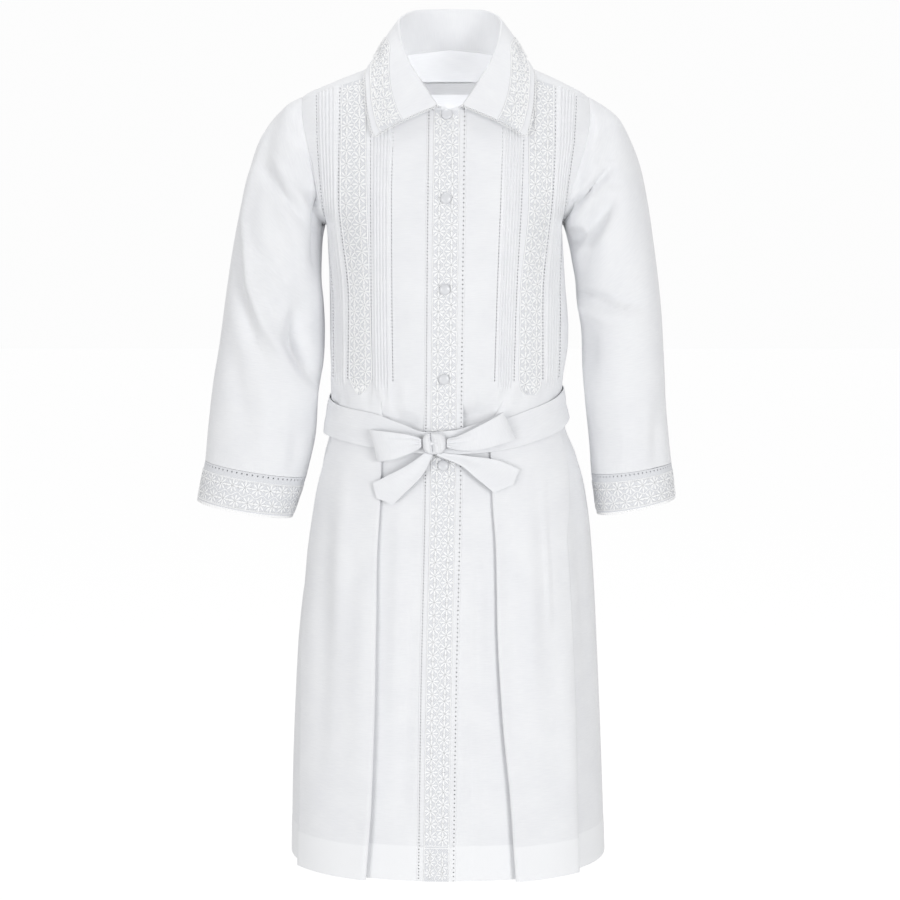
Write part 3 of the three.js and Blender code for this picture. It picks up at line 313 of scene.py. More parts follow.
def make_piece(name, body, finish, nodes=()):
    """An object from points and quads in millimetres, with its faces outwards and its cloth map."""
    points, quads, uvs = body
    corners = points[quads]
    volume = (np.einsum("ij,ij->i", corners[:, 0], np.cross(corners[:, 1], corners[:, 2])).sum()
              + np.einsum("ij,ij->i", corners[:, 0], np.cross(corners[:, 2], corners[:, 3])).sum())
    if volume < 0:
        quads, uvs = quads[:, ::-1], uvs[:, ::-1]
    mesh = bpy.data.meshes.new(name)
    mesh.vertices.add(len(points))
    mesh.vertices.foreach_set("co", (points * MM).astype(np.float32).ravel())
    mesh.loops.add(quads.size)
    mesh.loops.foreach_set("vertex_index", np.ascontiguousarray(quads, np.int32).ravel())
    mesh.polygons.add(len(quads))
    mesh.polygons.foreach_set("loop_start", np.arange(0, quads.size, 4, dtype=np.int32))
    mesh.polygons.foreach_set("use_smooth", np.ones(len(quads), bool))
    cloth_map = mesh.uv_layers.new(name="cloth")
    cloth_map.data.foreach_set("uv", np.ascontiguousarray(uvs * MM, np.float32).ravel())
    mesh.update(calc_edges=True)
    mesh.validate()
    mesh.set_sharp_from_angle(angle=math.radians(85))
    mesh.materials.append(finish)
    piece = bpy.data.objects.new(name, mesh)
    bpy.context.scene.collection.objects.link(piece)
    return settle(piece, nodes)


def settle(piece, nodes):
    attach(piece, "root")
    if nodes:
        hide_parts(*nodes)
    return piece


# Materials
def colour(text):
    """A linear colour from an sRGB hex value."""
    parts = [int(text[k:k + 2], 16) / 255 for k in (1, 3, 5)]
    return [c / 12.92 if c <= 0.04045 else ((c + 0.055) / 1.055) ** 2.4 for c in parts] + [1]


def colour_stops(ramp, *stops):
    for element, (position, shade) in zip(ramp.color_ramp.elements, stops):
        element.position = position
        element.color = colour(shade)


def add_node(tree, kind, settings=None, **inputs):
    """Adds a node. An input's value is a constant, a node, or the output socket that feeds it."""
    made = tree.nodes.new("ShaderNode" + kind)
    for key, value in (settings or {}).items():
        setattr(made, key, value)
    for key, value in inputs.items():
        socket = made.inputs[int(key[1:])] if key[1:].isdigit() else made.inputs[key.replace("_", " ")]
        if isinstance(value, bpy.types.Node):
            value = value.outputs[0]
        if isinstance(value, bpy.types.NodeSocket):
            tree.links.new(value, socket)
        else:
            socket.default_value = value
    return made


def new_material(name):
    material = bpy.data.materials.new(name)
    material.use_nodes = True
    material.node_tree.nodes.clear()
    return material, material.node_tree


def finish_material(tree, **surface):
    add_node(tree, "OutputMaterial", Surface=add_node(tree, "BsdfPrincipled", **surface))


# A wave texture repeats every WAVE_PERIOD / scale
WAVE_PERIOD = 2 * math.pi / 20


def crossed_threads(tree, place, pitch):
    """Two sets of threads at right angles, as the height of the higher one."""
    one, two = (add_node(tree, "TexWave", {"bands_direction": way}, Vector=place, Scale=WAVE_PERIOD / pitch)
                for way in "XY")
    return add_node(tree, "Math", {"operation": "MAXIMUM"}, i0=one.outputs[1], i1=two.outputs[1])


def cotton_lawn(name, light, shade, pitch=0.0011, glow=0.4):
    # Bleached plain-weave cotton, pressed: matt, with a faint sheen from its loose fibres and thicker
    # threads here and there. Its threads are 0.35 mm apart, drawn three times as coarse so that they show.
    material, tree = new_material(name)
    place = add_node(tree, "UVMap", {"uv_map": "cloth"})
    weave = crossed_threads(tree, place, pitch)
    slub_place = add_node(tree, "Mapping", Vector=place, Scale=(60, 900, 1))
    slub = add_node(tree, "TexNoise", Vector=slub_place, Scale=1.0, Detail=3.0)
    cloud = add_node(tree, "TexNoise", Vector=place, Scale=18.0, Detail=4.0)
    both = add_node(tree, "Math", {"operation": "ADD"}, i0=slub, i1=cloud)
    tone = add_node(tree, "Math", {"operation": "MULTIPLY"}, i0=both, i1=0.5)
    ramp = add_node(tree, "ValToRGB", Fac=tone)
    colour_stops(ramp, (0.32, shade), (0.62, light))
    # The hem is double, so it looks whiter
    spot = add_node(tree, "TexCoord").outputs["Object"]
    height = add_node(tree, "SeparateXYZ", Vector=spot).outputs[2]
    line = HEM_LINE * MM
    double = add_node(tree, "MapRange", Value=height, i1=line + MM, i2=line - MM)
    colours = add_node(tree, "Mix", {"data_type": "RGBA"}, i0=double, i6=ramp, i7=colour("#EEEFF1"))
    relief = add_node(tree, "Math", {"operation": "ADD"}, i0=weave, i1=slub)
    bump = add_node(tree, "Bump", Height=relief, Strength=0.25, Distance=0.0002)
    # Light comes through the thin cloth, so the inside of the garment isn't dark
    finish_material(tree, Base_Color=colours.outputs[2], Normal=bump, Roughness=0.85, IOR=1.45,
                    Subsurface_Weight=glow, Subsurface_Radius=(1, 1, 1), Subsurface_Scale=0.001,
                    Sheen_Weight=0.12, Sheen_Roughness=0.4)
    return material


def lace_net():
    # Cotton net ground of machine lace: fine open meshes, drawn 1.8 mm apart, with painted shade where they
    # are open, as the holes are not cut
    material, tree = new_material("cotton_net_ground_painted_hole_shade")
    place = add_node(tree, "UVMap", {"uv_map": "cloth"})
    turned = add_node(tree, "Mapping", Vector=place, Rotation=(0, 0, math.radians(45)))
    mesh = crossed_threads(tree, turned, 0.0018)
    ramp = add_node(tree, "ValToRGB", Fac=mesh)
    # The lighter stop is the net's own thread; the darker stop is painted shade in its open meshes
    colour_stops(ramp, (0.35, "#C6C9CE"), (0.8, "#E6E7EA"))
    bump = add_node(tree, "Bump", Height=mesh, Strength=0.6, Distance=0.0004)
    finish_material(tree, Base_Color=ramp, Normal=bump, Roughness=0.9)
    return material


def lace_thread():
    # Mercerised cotton thread: whiter and a little glossier than the cloth, with the turns of its ply
    material, tree = new_material("mercerised_cotton_thread")
    place = add_node(tree, "TexCoord").outputs["Object"]
    ply = add_node(tree, "TexNoise", Vector=place, Scale=1400.0, Detail=2.0)
    ramp = add_node(tree, "ValToRGB", Fac=ply)
    colour_stops(ramp, (0, "#F2F3F4"), (1, "#FBFBFB"))
    bump = add_node(tree, "Bump", Height=ply, Strength=0.3, Distance=0.0002)
    finish_material(tree, Base_Color=ramp, Normal=bump, Roughness=0.62)
    return material


def pearl_button():
    # Polyester button blank with a pearl finish: smooth, slightly grey beside the cloth, soft cloudy layers
    material, tree = new_material("pearl_polyester")
    place = add_node(tree, "TexCoord").outputs["Object"]
    layers = add_node(tree, "TexNoise", Vector=place, Scale=160.0, Detail=2.0, Distortion=1.2)
    ramp = add_node(tree, "ValToRGB", Fac=layers)
    colour_stops(ramp, (0, "#CFD1D5"), (1, "#DFE0E3"))
    fine = add_node(tree, "TexNoise", Vector=place, Scale=900.0, Detail=1.0)
    bump = add_node(tree, "Bump", Height=fine, Strength=0.08, Distance=0.0002)
    finish_material(tree, Base_Color=ramp, Normal=bump, Roughness=0.3, Coat_Weight=0.25)
    return material


def studio_white(name, shade, glow):
    material, tree = new_material(name)
    place = add_node(tree, "TexCoord").outputs["Object"]
    grain = add_node(tree, "TexNoise", Vector=place, Scale=40.0, Detail=3.0)
    bump = add_node(tree, "Bump", Height=grain, Strength=0.05, Distance=0.001)
    finish_material(tree, Base_Color=colour(shade), Normal=bump, Roughness=0.95,
                    Emission_Color=colour("#FFFFFF"), Emission_Strength=glow)
    return material


COTTON = cotton_lawn("bleached_cotton_lawn", "#EBECEE", "#E4E5E8")
LABEL_CLOTH = cotton_lawn("grey_woven_satin_label", "#CFD0D2", "#C2C3C6", pitch=0.0009, glow=0.1)
LACE_NET = lace_net()
LACE_THREAD = lace_thread()
PEARL = pearl_button()


# Folds and tucks
FOLD_SPANS = 3
GROUP = 10 * FOLD_SPANS + 1
TUCK_PROFILE = np.array([0, 0.12, 0.85, 1, 0.7, 0.08])
TUCK_HEIGHT = 2.1
TUCKS_RELEASED, RELEASE_LENGTH = -466, 12


def fold_lines(z):
    """A box pleat's fold at each height: distance past the fold's edge, and height off the body."""
    z = np.minimum(z, PLEATS_FORMED)
    layer, under = track(PLEATS, 5, z), track(PLEATS, 6, z)
    across = FOLD[:, 0][:, None] * under + FOLD[:, 1][:, None] * layer / 2
    height = FOLD[:, 2][:, None] * layer
    lines = curve_through(np.stack([across, height], -1), FOLD_SPANS)
    return lines[..., 0].T, lines[..., 1].T


def spread(start, end, spans, drop_last=False):
    """Columns at even steps after the first angle, up to the last one."""
    share = np.arange(1, spans + (0 if drop_last else 1)) / spans
    return start[:, None] + (end - start)[:, None] * share


def folded(centre, z, facing, rising):
    across, height = fold_lines(z)
    if not rising:
        across, height = across[:, ::-1], height[:, ::-1]
    return slide(centre[:, None], z[:, None], facing * across), height


def tucks(z, flip):
    """Height of five pin tucks across their group of columns, gone where they are released."""
    profile = np.append(np.tile(TUCK_PROFILE, 5), 0)
    if flip:
        profile = profile[::-1]
    return profile * TUCK_HEIGHT * smooth((z[:, None] - TUCKS_RELEASED) / RELEASE_LENGTH)


# A front's columns: the strip under the placket, then those before, between and after the groups of tucks
STRIP_STOPS = (0.15, 8, 16, 23.6, 25.2, 26.8, 28)
LEAD_SPANS, LACE_SPANS, EDGE_SPANS = 9, 10, 8
LEAD_COLUMNS = len(STRIP_STOPS) + LEAD_SPANS + 1
MIDDLE_COLUMNS = LACE_SPANS + 5
EDGE_COLUMNS = EDGE_SPANS + 2
LACE_START = LEAD_COLUMNS + GROUP + 2
CHEST_LACE_COLUMNS = slice(LACE_START, LACE_START + LACE_SPANS + 1)
EYELET_COLUMNS = (LEAD_COLUMNS - 2, LACE_START - 2, LACE_START + LACE_SPANS + 1,
                  LEAD_COLUMNS + MIDDLE_COLUMNS + 2 * GROUP)
GROOVE_COLUMN, GROOVE = 4, 3.4
# Rows of eyelets: how wide, and how far from the inner tucks on both sides, the lace and the outer tucks
EYELET = 1.4
BEFORE_INNER, AFTER_INNER, AFTER_LACE, AFTER_OUTER = -4.6, 3.4, 2.4, 2.6


def front_columns(side, z):
    """Angle of each column of a front at these levels, and its height off the body."""
    seams = FRONT_SEAMS[side]
    centre = track(PLACKET, 1, z)

    def seam(column, shift=0.0):
        return angle_at(side * (track(seams, column, z) + shift), z)

    strip = [angle_at(centre + side * stop, z)[:, None] for stop in STRIP_STOPS]
    strip_edge = strip[-1][:, 0]
    edge = np.where(z > UNDERARM, angle_at(armhole_x(side, z), z), side * math.pi / 2)

    def flat(columns):
        return np.zeros((len(z), columns))

    def pair(column, shift):
        return [seam(column, shift)[:, None], seam(column, shift + EYELET)[:, None]]

    inner_start, inner_end = seam(1), seam(2)
    outer_start, outer_end = seam(5), seam(6)
    group = np.linspace(0, 1, GROUP)
    blocks = [*strip, spread(strip_edge, seam(1, BEFORE_INNER), LEAD_SPANS),
              seam(1, BEFORE_INNER + EYELET)[:, None],
              mix(inner_start[:, None], inner_end[:, None], group), *pair(2, AFTER_INNER),
              seam(3)[:, None], spread(seam(3), seam(4), LACE_SPANS), *pair(4, AFTER_LACE),
              mix(outer_start[:, None], outer_end[:, None], group), *pair(6, AFTER_OUTER)]
    blocks.append(spread(blocks[-1][:, 0], edge, EDGE_SPANS))
    bodice = np.concatenate(blocks, 1)
    # The cloth dips under the dotted edge of the button strip, so that its eyelets show
    first = flat(LEAD_COLUMNS)
    first[:, GROOVE_COLUMN] = -GROOVE
    tucked = tucks(z, side == LEFT)
    bodice_height = np.concatenate([first, tucked, flat(MIDDLE_COLUMNS), tucked, flat(EDGE_COLUMNS)], 1)
    # Below the waist the same columns open into a box pleat
    low = np.minimum(z, PLEATS_FORMED)
    columns = (1, 2) if side == RIGHT else (3, 4)
    inner_fold, outer_fold = (side * np.radians(track(PLEATS, column, low)) for column in columns)
    inner, inner_height = folded(inner_fold, z, side, True)
    outer, outer_height = folded(outer_fold, z, -side, False)
    face = 2 * track(PLEATS, 5, low)[:, None]
    skirt = np.concatenate([*strip, spread(strip_edge, inner[:, 0], LEAD_SPANS + 2, True), inner,
                            spread(inner[:, -1], outer[:, 0], MIDDLE_COLUMNS + 1, True), outer,
                            spread(outer[:, -1], edge, EDGE_COLUMNS)], 1)
    skirt_height = np.concatenate([first, inner_height, np.repeat(face, MIDDLE_COLUMNS, 1),
                                   outer_height, flat(EDGE_COLUMNS)], 1)
    opened = smooth((WAIST_FLAT - z) / (WAIST_FLAT - SKIRT_OPEN))[:, None]
    return mix(bodice, skirt, opened), mix(bodice_height, skirt_height, opened)


def top_place(side, across):
    """Where lines at these distances from centre meet the neck seam or the yoke."""
    neck = np.linspace(0, SHOULDER, SEAM_STEPS) * side
    seam_angle, seam_z = yoke_seam(side, np.linspace(0, 1, SEAM_STEPS)[1:])
    angles = np.concatenate([neck, seam_angle])
    heights = np.concatenate([neck_height(neck), seam_z])
    x = np.abs(form(angles, heights)[:, 0])
    return np.interp(across, x, angles), np.interp(across, x, heights)


SEAM_STEPS = 60
TOP_ROWS, SKIRT_ROWS = 30, 104
CHEST_TOP = -110.0
# The columns run up to the seams from their places at this level, the last one to the armhole
GUIDE_LEVEL = -78.0
PAST_ARMHOLE = 400
PITCH = 2.4
EYELETS_END = -452


def front_rows(side):
    """The whole front: angle and level of each point, and its height off the body."""
    first, first_height = front_columns(side, np.array([CHEST_TOP]))
    guide = front_columns(side, np.array([GUIDE_LEVEL]))[0][0]
    across = side * form(guide, np.full(len(guide), GUIDE_LEVEL))[:, 0]
    across[-1] = PAST_ARMHOLE
    top_angle, top_z = top_place(side, np.maximum(across, 0))
    top_z = top_z - YOKE_GAP
    t = np.arange(TOP_ROWS)[:, None] / TOP_ROWS
    z = mix(top_z, CHEST_TOP, t)
    top_x = form(top_angle, top_z)[:, 0]
    x = mix(top_x, form(first[0], np.full(first.shape[1], CHEST_TOP))[:, 0], t)
    share = np.arange(1, EDGE_SPANS + 1) / EDGE_SPANS
    x[:, -EDGE_SPANS:] = mix(x[:, -EDGE_SPANS - 1:-EDGE_SPANS], armhole_x(side, z[:, -EDGE_SPANS:]), share)
    upper = angle_at(x, z)
    upper[0] = top_angle
    bodice_z = np.arange(CHEST_TOP, WAIST_FLAT, -PITCH)
    lower_z = np.concatenate([bodice_z, np.linspace(WAIST_FLAT, HEM, SKIRT_ROWS)])
    lower, lower_height = front_columns(side, lower_z)
    angle = np.concatenate([upper, lower])
    height = np.concatenate([np.broadcast_to(first_height, upper.shape), lower_height])
    z = np.concatenate([z, np.broadcast_to(lower_z[:, None], lower.shape)])
    return angle, z, height


def eyelet_mask(grid, z, columns, above=EYELETS_END, every=2):
    holes = np.zeros((grid.shape[0] - 1, grid.shape[1] - 1), bool)
    for column in columns:
        rows = slice(1, -1, every)
        holes[rows, column] = z[:-1][rows, column] > above
    return holes


HEM_PROUD, HEM_STEP = 0.5, 3
STITCHES_IN, STITCHES_WIDE = 1.3, 2.4


def hem_relief(z):
    """The hem is turned up: the double cloth stands a little proud, under a drawn-in line of stitches."""
    proud = HEM_PROUD * smooth((HEM_LINE - z) / HEM_STEP)
    return proud - STITCHES_IN * np.exp(-((z - HEM_LINE) / STITCHES_WIDE) ** 2)


# Soft creases: width and height in millimetres, then places across and up; the tucks' folds come first
FRONT_CREASES = {
    RIGHT: [
        (12, -8, (-84, -505), (-44, -517)),
        (4.5, 2.4, (-106, -449), (-100, -469), (-92, -494), (-86, -503)),
        (3.5, 1.9, (-86, -452), (-89, -474), (-85, -503)),
        (4.0, -1.8, (-124, -452), (-120, -470), (-116, -492)),
        (5.0, -2.2, (-159, -454), (-155, -469), (-151, -485)),
        (6.0, 2.2, (-172, -455), (-151, -471), (-115, -484)),
        (5.0, 2.2, (-69, -448), (-65, -477), (-66, -506)),
        (14, -2.2, (-172, -300), (-166, -360), (-168, -430)),
        (14, 5.0, (-150, -588), (-155, -704), (-159, -836)),
        (14, -4.0, (-172, -646), (-180, -836), (-186, -1029)),
        (9, -5.0, (-197, -574), (-213, -704), (-217, -836)),
        (15, 4.0, (-118, -700), (-122, -850), (-128, -1060)),
        (12, 4.0, (-71, -617), (-75, -762), (-80, -939)),
        (10, -3.5, (-58, -792), (-61, -939), (-70, -1104)),
    ],
    LEFT: [
        (13, -9, (-4, -510), (28, -504), (56, -494)),
        (4.5, 2.4, (79, -445), (70, -468), (60, -495)),
        (4.5, 2.0, (97, -445), (93, -469), (83, -488)),
        (4.0, -1.8, (112, -448), (108, -466), (101, -486)),
        (9, 2.6, (165, -332), (168, -376), (163, -449)),
        (5.0, 2.2, (40, -448), (34, -474), (31, -498)),
        (6.0, -2.0, (146, -452), (140, -468), (132, -482)),
        (3, 2.5, (130, -590), (136, -704), (140, -812)),
        (9, -4.0, (25, -926), (30, -1017), (35, -1178)),
        (10, 4.0, (40, -704), (40, -768), (42, -902)),
        (14, 5.0, (107, -617), (112, -762), (116, -910)),
        (14, -4.0, (84, -640), (82, -800), (86, -1010)),
        (9, -5.0, (174, -574), (196, -762), (204, -939)),
        (13, 4.0, (160, -820), (168, -960), (170, -1120)),
    ],
}
BACK_CREASES = [
    (16, -3.0, (-150, -130), (-120, -190), (-96, -250)),
    (15, -2.6, (146, -126), (118, -196), (88, -246)),
    (10, 2.6, (-110, -330), (-124, -392), (-128, -455)),
    (9, -2.4, (118, -345), (128, -400), (126, -458)),
    (8, 2.6, (-60, -400), (-52, -440), (-45, -478)),
    (8, -2.2, (62, -392), (52, -436), (48, -472)),
    (5, 2.2, (8, -420), (14, -455), (10, -490)),
    (14, 5.0, (-40, -590), (-46, -740), (-52, -900)),
    (14, -4.5, (36, -610), (44, -780), (40, -980)),
    (13, 5.0, (-150, -600), (-160, -740), (-166, -880)),
    (13, -4.5, (148, -590), (162, -760), (170, -960)),
    (10, -4.5, (-196, -580), (-212, -720), (-217, -860)),
    (10, 4.0, (190, -600), (206, -800), (210, -1000)),
    (12, -4.0, (12, -850), (8, -980), (14, -1130)),
    (13, 4.0, (-104, -860), (-112, -1000), (-110, -1150)),
]


def front_surface(side, angle, z, height):
    """Points of a front, and of what lies on it, so far off its creased cloth."""
    creased = height + crease_height(form(angle, z)[..., 0], z, FRONT_CREASES[side])
    return on_form(angle, z, creased + hem_relief(z))


def front_grid(side):
    angle, z, height = front_rows(side)
    grid = front_surface(side, angle, z, height)
    grid[..., 1] -= SIDE_GAP
    return grid, z


BACK_BODICE_ROWS = 75
BACK_SPANS, BACK_SIDE_SPANS = 12, 10
BACK_GROUP_WIDTH = 21


def back_grid():
    bodice_z = np.linspace(BACK_SEAM - BACK_GAP, WAIST_FLAT, BACK_BODICE_ROWS + 1)[:-1]
    z = np.concatenate([bodice_z, np.linspace(WAIST_FLAT, HEM, SKIRT_ROWS)])

    def edge(side):
        return np.where(z > UNDERARM, angle_at(armhole_x(side, z), z, True), side * math.pi / 2)

    opened = smooth((WAIST_FLAT - z) / (WAIST_FLAT - SKIRT_OPEN))[:, None]
    drift = np.clip((UNDERARM - z) / (UNDERARM - PLEATS_FORMED), 0, 1)
    outer = np.radians(mix(*BACK_FOLDS["outer"], drift))
    inner = np.radians(mix(*BACK_FOLDS["inner"], drift))
    flat = np.linspace(-BACK_GROUP_WIDTH / 2, BACK_GROUP_WIDTH / 2, GROUP)
    folds = []
    for centre, rising in ((outer, True), (inner, False), (2 * math.pi - inner, True),
                           (2 * math.pi - outer, False)):
        across, height = fold_lines(z)
        if not rising:
            across, height = -across[:, ::-1], height[:, ::-1]
        folds.append((slide(centre[:, None], z[:, None], mix(flat, across, opened)), height * opened))
    face = 2 * track(PLEATS, 5, np.minimum(z, PLEATS_FORMED))[:, None] * opened
    flat_height = np.zeros((len(z), 1))
    start, end = edge(LEFT), edge(RIGHT) + 2 * math.pi
    angles, heights = [start[:, None]], [flat_height]
    last = start
    for k, (fold, fold_height) in enumerate(folds):
        spans = BACK_SPANS if k else BACK_SIDE_SPANS
        angles += [spread(last, fold[:, 0], spans, True), fold]
        heights += [np.repeat(face if k in (1, 3) else flat_height, spans - 1, 1), fold_height]
        last = fold[:, -1]
    angles.append(spread(last, end, BACK_SIDE_SPANS))
    heights.append(np.repeat(flat_height, BACK_SIDE_SPANS, 1))
    angle, height = np.concatenate(angles, 1), np.concatenate(heights, 1)
    z = np.broadcast_to(z[:, None], angle.shape)
    height = height + crease_height(form(angle, z)[..., 0], z, BACK_CREASES)
    grid = on_form(angle, z, height + hem_relief(z))
    grid[..., 1] += SIDE_GAP
    return grid


YOKE_ROWS, YOKE_COLUMNS = 22, 91
# How far inside the armhole the yoke's lines keep at the neck
NECK_INSET = 28


def yoke_grid():
    def stations(side):
        half = side * math.pi
        # The edge runs over the shoulder, down behind the armhole and along the seam of the back
        edges = [(yoke_seam(side, 1.0)[0], YOKE_CORNER), (half / 2, ARMHOLE[0, 0])]
        edges += [(angle_at(np.array(armhole_x(side, z)), z, True), z) for z in (-56, -75, BACK_SEAM)]
        edges += [(mix(edges[4][0], half, k / 5), BACK_SEAM) for k in range(1, 6)]
        neck = side * np.radians(np.linspace(math.degrees(SHOULDER), 180, len(edges)))
        return np.array([[n, e[0], e[1]] for n, e in zip(neck, edges)], float)

    left, right = stations(LEFT), stations(RIGHT)[::-1][1:]
    right[:, :2] += 2 * math.pi
    around = np.concatenate([left, right])
    at = np.linspace(0, len(around) - 1, YOKE_COLUMNS)
    neck, edge, edge_z = (np.interp(at, np.arange(len(around)), around[:, k]) for k in range(3))
    t = np.linspace(0, 1, YOKE_ROWS)[:, None]
    turned = np.where(neck > math.pi, neck - 2 * math.pi, neck)
    z = mix(neck_height(turned), edge_z, t ** 0.8)
    angle = mix(neck, edge, t)
    point = form(angle, z)
    side = np.where(point[..., 0] < 0, RIGHT, LEFT)
    limit = np.where(side == RIGHT, -armhole_x(RIGHT, z), armhole_x(LEFT, z)) - NECK_INSET * (1 - t)
    behind = point[..., 1] > 0
    inside = np.where(behind, angle_at(side * limit, z, True), angle_at(side * limit, z))
    kept = np.where(np.abs(point[..., 0]) <= limit, angle, inside)
    return form(kept, z)


PLACKET_TOP, PLACKET_PITCH = -65.3, 1.6


def placket_grid(stops, height, top=PLACKET_TOP):
    z = np.append(np.arange(top, HEM, -PLACKET_PITCH), HEM)
    centre = track(PLACKET, 1, z)[:, None]
    angle = angle_at(centre + np.array(stops), z[:, None])
    rows = np.broadcast_to(z[:, None], angle.shape)
    return on_form(angle, rows, height + hem_relief(rows)), rows


# Lace: a strip's own map turns places on the flat lace into points above the cloth
def strip_map(grid, flip=1):
    normals = flip * grid_normals(grid)
    middle = grid[:, grid.shape[1] // 2]
    lengths = np.concatenate([[0], np.linalg.norm(np.diff(middle, axis=0), axis=-1).cumsum()])
    rows, columns = grid.shape[:2]

    def place(u, v, lift):
        """u runs from 0 to 1 across the strip, and v down it in millimetres."""
        i = np.interp(v, lengths, np.arange(rows))
        j = np.clip(u, 0, 1) * (columns - 1)
        i0, j0 = np.minimum(i.astype(int), rows - 2), np.minimum(j.astype(int), columns - 2)
        s, t = (i - i0)[..., None], (j - j0)[..., None]
        found = []
        for field in (grid, normals):
            upper = mix(field[i0, j0], field[i0, j0 + 1], t)
            lower = mix(field[i0 + 1, j0], field[i0 + 1, j0 + 1], t)
            found.append(mix(upper, lower, s))
        normal = unit(found[1])
        return found[0] + normal * lift, normal

    return place, lengths[-1]


# A petal's places along it and its half widths there, as shares of the flower's radius
PETAL = np.array([[0.14, 0.04], [0.38, 0.09], [0.68, 0.13], [0.88, 0.09], [1, 0.03]])
FLOWER_PITCH, FLOWER_SHARE = 19, 0.54
RELIEF = 0.6
CORD_HALF = 0.7


def petals(place, width, centres, radius, lift, count=8):
    turn = np.arange(count) / count * 2 * math.pi
    spokes = np.stack([np.cos(turn), np.sin(turn)], -1)[:, None] * (PETAL[:, :1] * radius)
    flat = (centres[:, None, None] + spokes).reshape(-1, len(PETAL), 2)
    paths, normals = place(flat[..., 0] / width, flat[..., 1], lift)
    return threads(paths, normals, PETAL[:, 1] * radius, RELIEF, closed=False)


def ring(radius, points, stretch=1.0):
    turn = np.arange(points) / points * 2 * math.pi
    return np.stack([radius * np.cos(turn), stretch * radius * np.sin(turn)], -1)


def motifs(place, width, centres, outline, lift, half_width_mm=THREAD, half_height_mm=THREAD):
    """Copies of a closed outline round each centre on the strip."""
    u = (centres[:, :1] + outline[:, 0]) / width
    v = centres[:, 1:] + outline[:, 1]
    paths, normals = place(u, v, lift)
    return threads(paths, normals, half_width_mm, half_height_mm)


def lace_band(place, width, start, end, lift, ends=True):
    """A generic traditional lace: two staggered rows of eight-petalled flowers, rings and a winding cord."""
    step = width / 2
    count = round((end - start) / FLOWER_PITCH)
    pitch = (end - start) / count
    radius = FLOWER_SHARE * min(step, pitch)
    k = np.arange(count)
    centres = np.concatenate([
        np.stack([np.full(count, (row + 0.5) * step), start + (k + 0.25 + 0.5 * row) * pitch], -1)
        for row in (0, 1)])
    gaps = centres + [0, pitch / 2]
    if ends:
        centres[:, 1] = np.clip(centres[:, 1], start + radius, end - radius)
        gaps = gaps[gaps[:, 1] < end - 3]
    parts = [petals(place, width, centres, radius, lift),
             motifs(place, width, centres, ring(0.17 * radius, 6), lift + 0.3),
             motifs(place, width, gaps, ring(0.24 * radius, 6, 1.3), lift)]
    v = np.linspace(start, end, 10 * count + 1)[None]
    wave = np.cos(2 * math.pi * ((v - start) / pitch - 0.25))
    paths, normals = place((step + 0.13 * step * wave) / width, v, lift)
    return [*parts, threads(paths, normals, 0.6, 0.5, closed=False)]


def beads(place, width, length, offsets, lift, pitch=3.4, size=0.8):
    """Rows of small worked eyelets down the strip."""
    v = (np.arange(int(length / pitch)) + 0.5) * pitch
    centres = np.concatenate([np.stack([np.full(len(v), offset), v], -1) for offset in offsets])
    return motifs(place, width, centres, ring(size, 5), lift, 0.4, 0.35)


def cords(place, width, length, offsets, lift, spans):
    """Straight cords down the strip at these distances from its first edge."""
    u, v = np.meshgrid(np.array(offsets, float) / width, np.linspace(0, length, spans + 1), indexing="ij")
    paths, normals = place(u, v, lift)
    return threads(paths, normals, CORD_HALF, CORD_HALF, closed=False)


def picots(edge, normals, outward, pitch=4.8, size=2.2):
    """Small loops of thread along an edge line of points."""
    steps = np.linalg.norm(np.diff(edge, axis=0), axis=-1)
    reach = np.concatenate([[0], steps.cumsum()])
    count = max(2, int(reach[-1] / pitch))
    at = (np.arange(count) + 0.5) * reach[-1] / count
    centre, normal, out = (np.stack([np.interp(at, reach, field[:, k]) for k in range(3)], -1)
                           for field in (edge, normals, outward))
    normal, out = unit(normal), unit(out)
    side = unit(np.cross(normal, out))
    turn = np.arange(7) / 7 * 2 * math.pi
    loop = (centre[:, None] + out[:, None] * (size * 0.7 + size * np.cos(turn))[:, None]
            + side[:, None] * (size * 0.8 * np.sin(turn))[:, None])
    return threads(loop, np.broadcast_to(normal[:, None], loop.shape), 0.6, 0.5)


# Collar stations from centre back to the front end: neck angle, then roll and edge places
COLLAR = np.array([
    [180, 0, 86, 92, 0, 94, 8], [152, 46, 79, 90, 60, 89, 6], [126, 66, 54, 82, 98, 62, 5],
    [102, 76, 22, 68, 114, 24, 5], [78, 73, -6, 45, 116, -14, 3], [56, 65, -31, 19, 119, -42, -25],
    [36, 54, -50, -4, 119, -66, -52], [18, 40, -67, -25, 114, -85, -80], [8, 29, -79, -42, 111, -92, -92],
    [2, 19, -88, -56, 106.5, -97, -101],
], float)
COLLAR_LIFT = 4.4
STAND_BELOW, STAND_INSIDE = 2.5, 1.5
ROLL = 2.4
FALL_BELLY = 0.07
# Share of the fall down to the fine strip at its edge
EDGE_SHARE = 0.97
COLLAR_LACE_WIDTH = 38
COLLAR_STATIONS, COLLAR_SPANS = 60, 4
COLLAR_LACE_COLUMNS = slice(26, 38)
FRONT_EDGE_COLUMN = 18


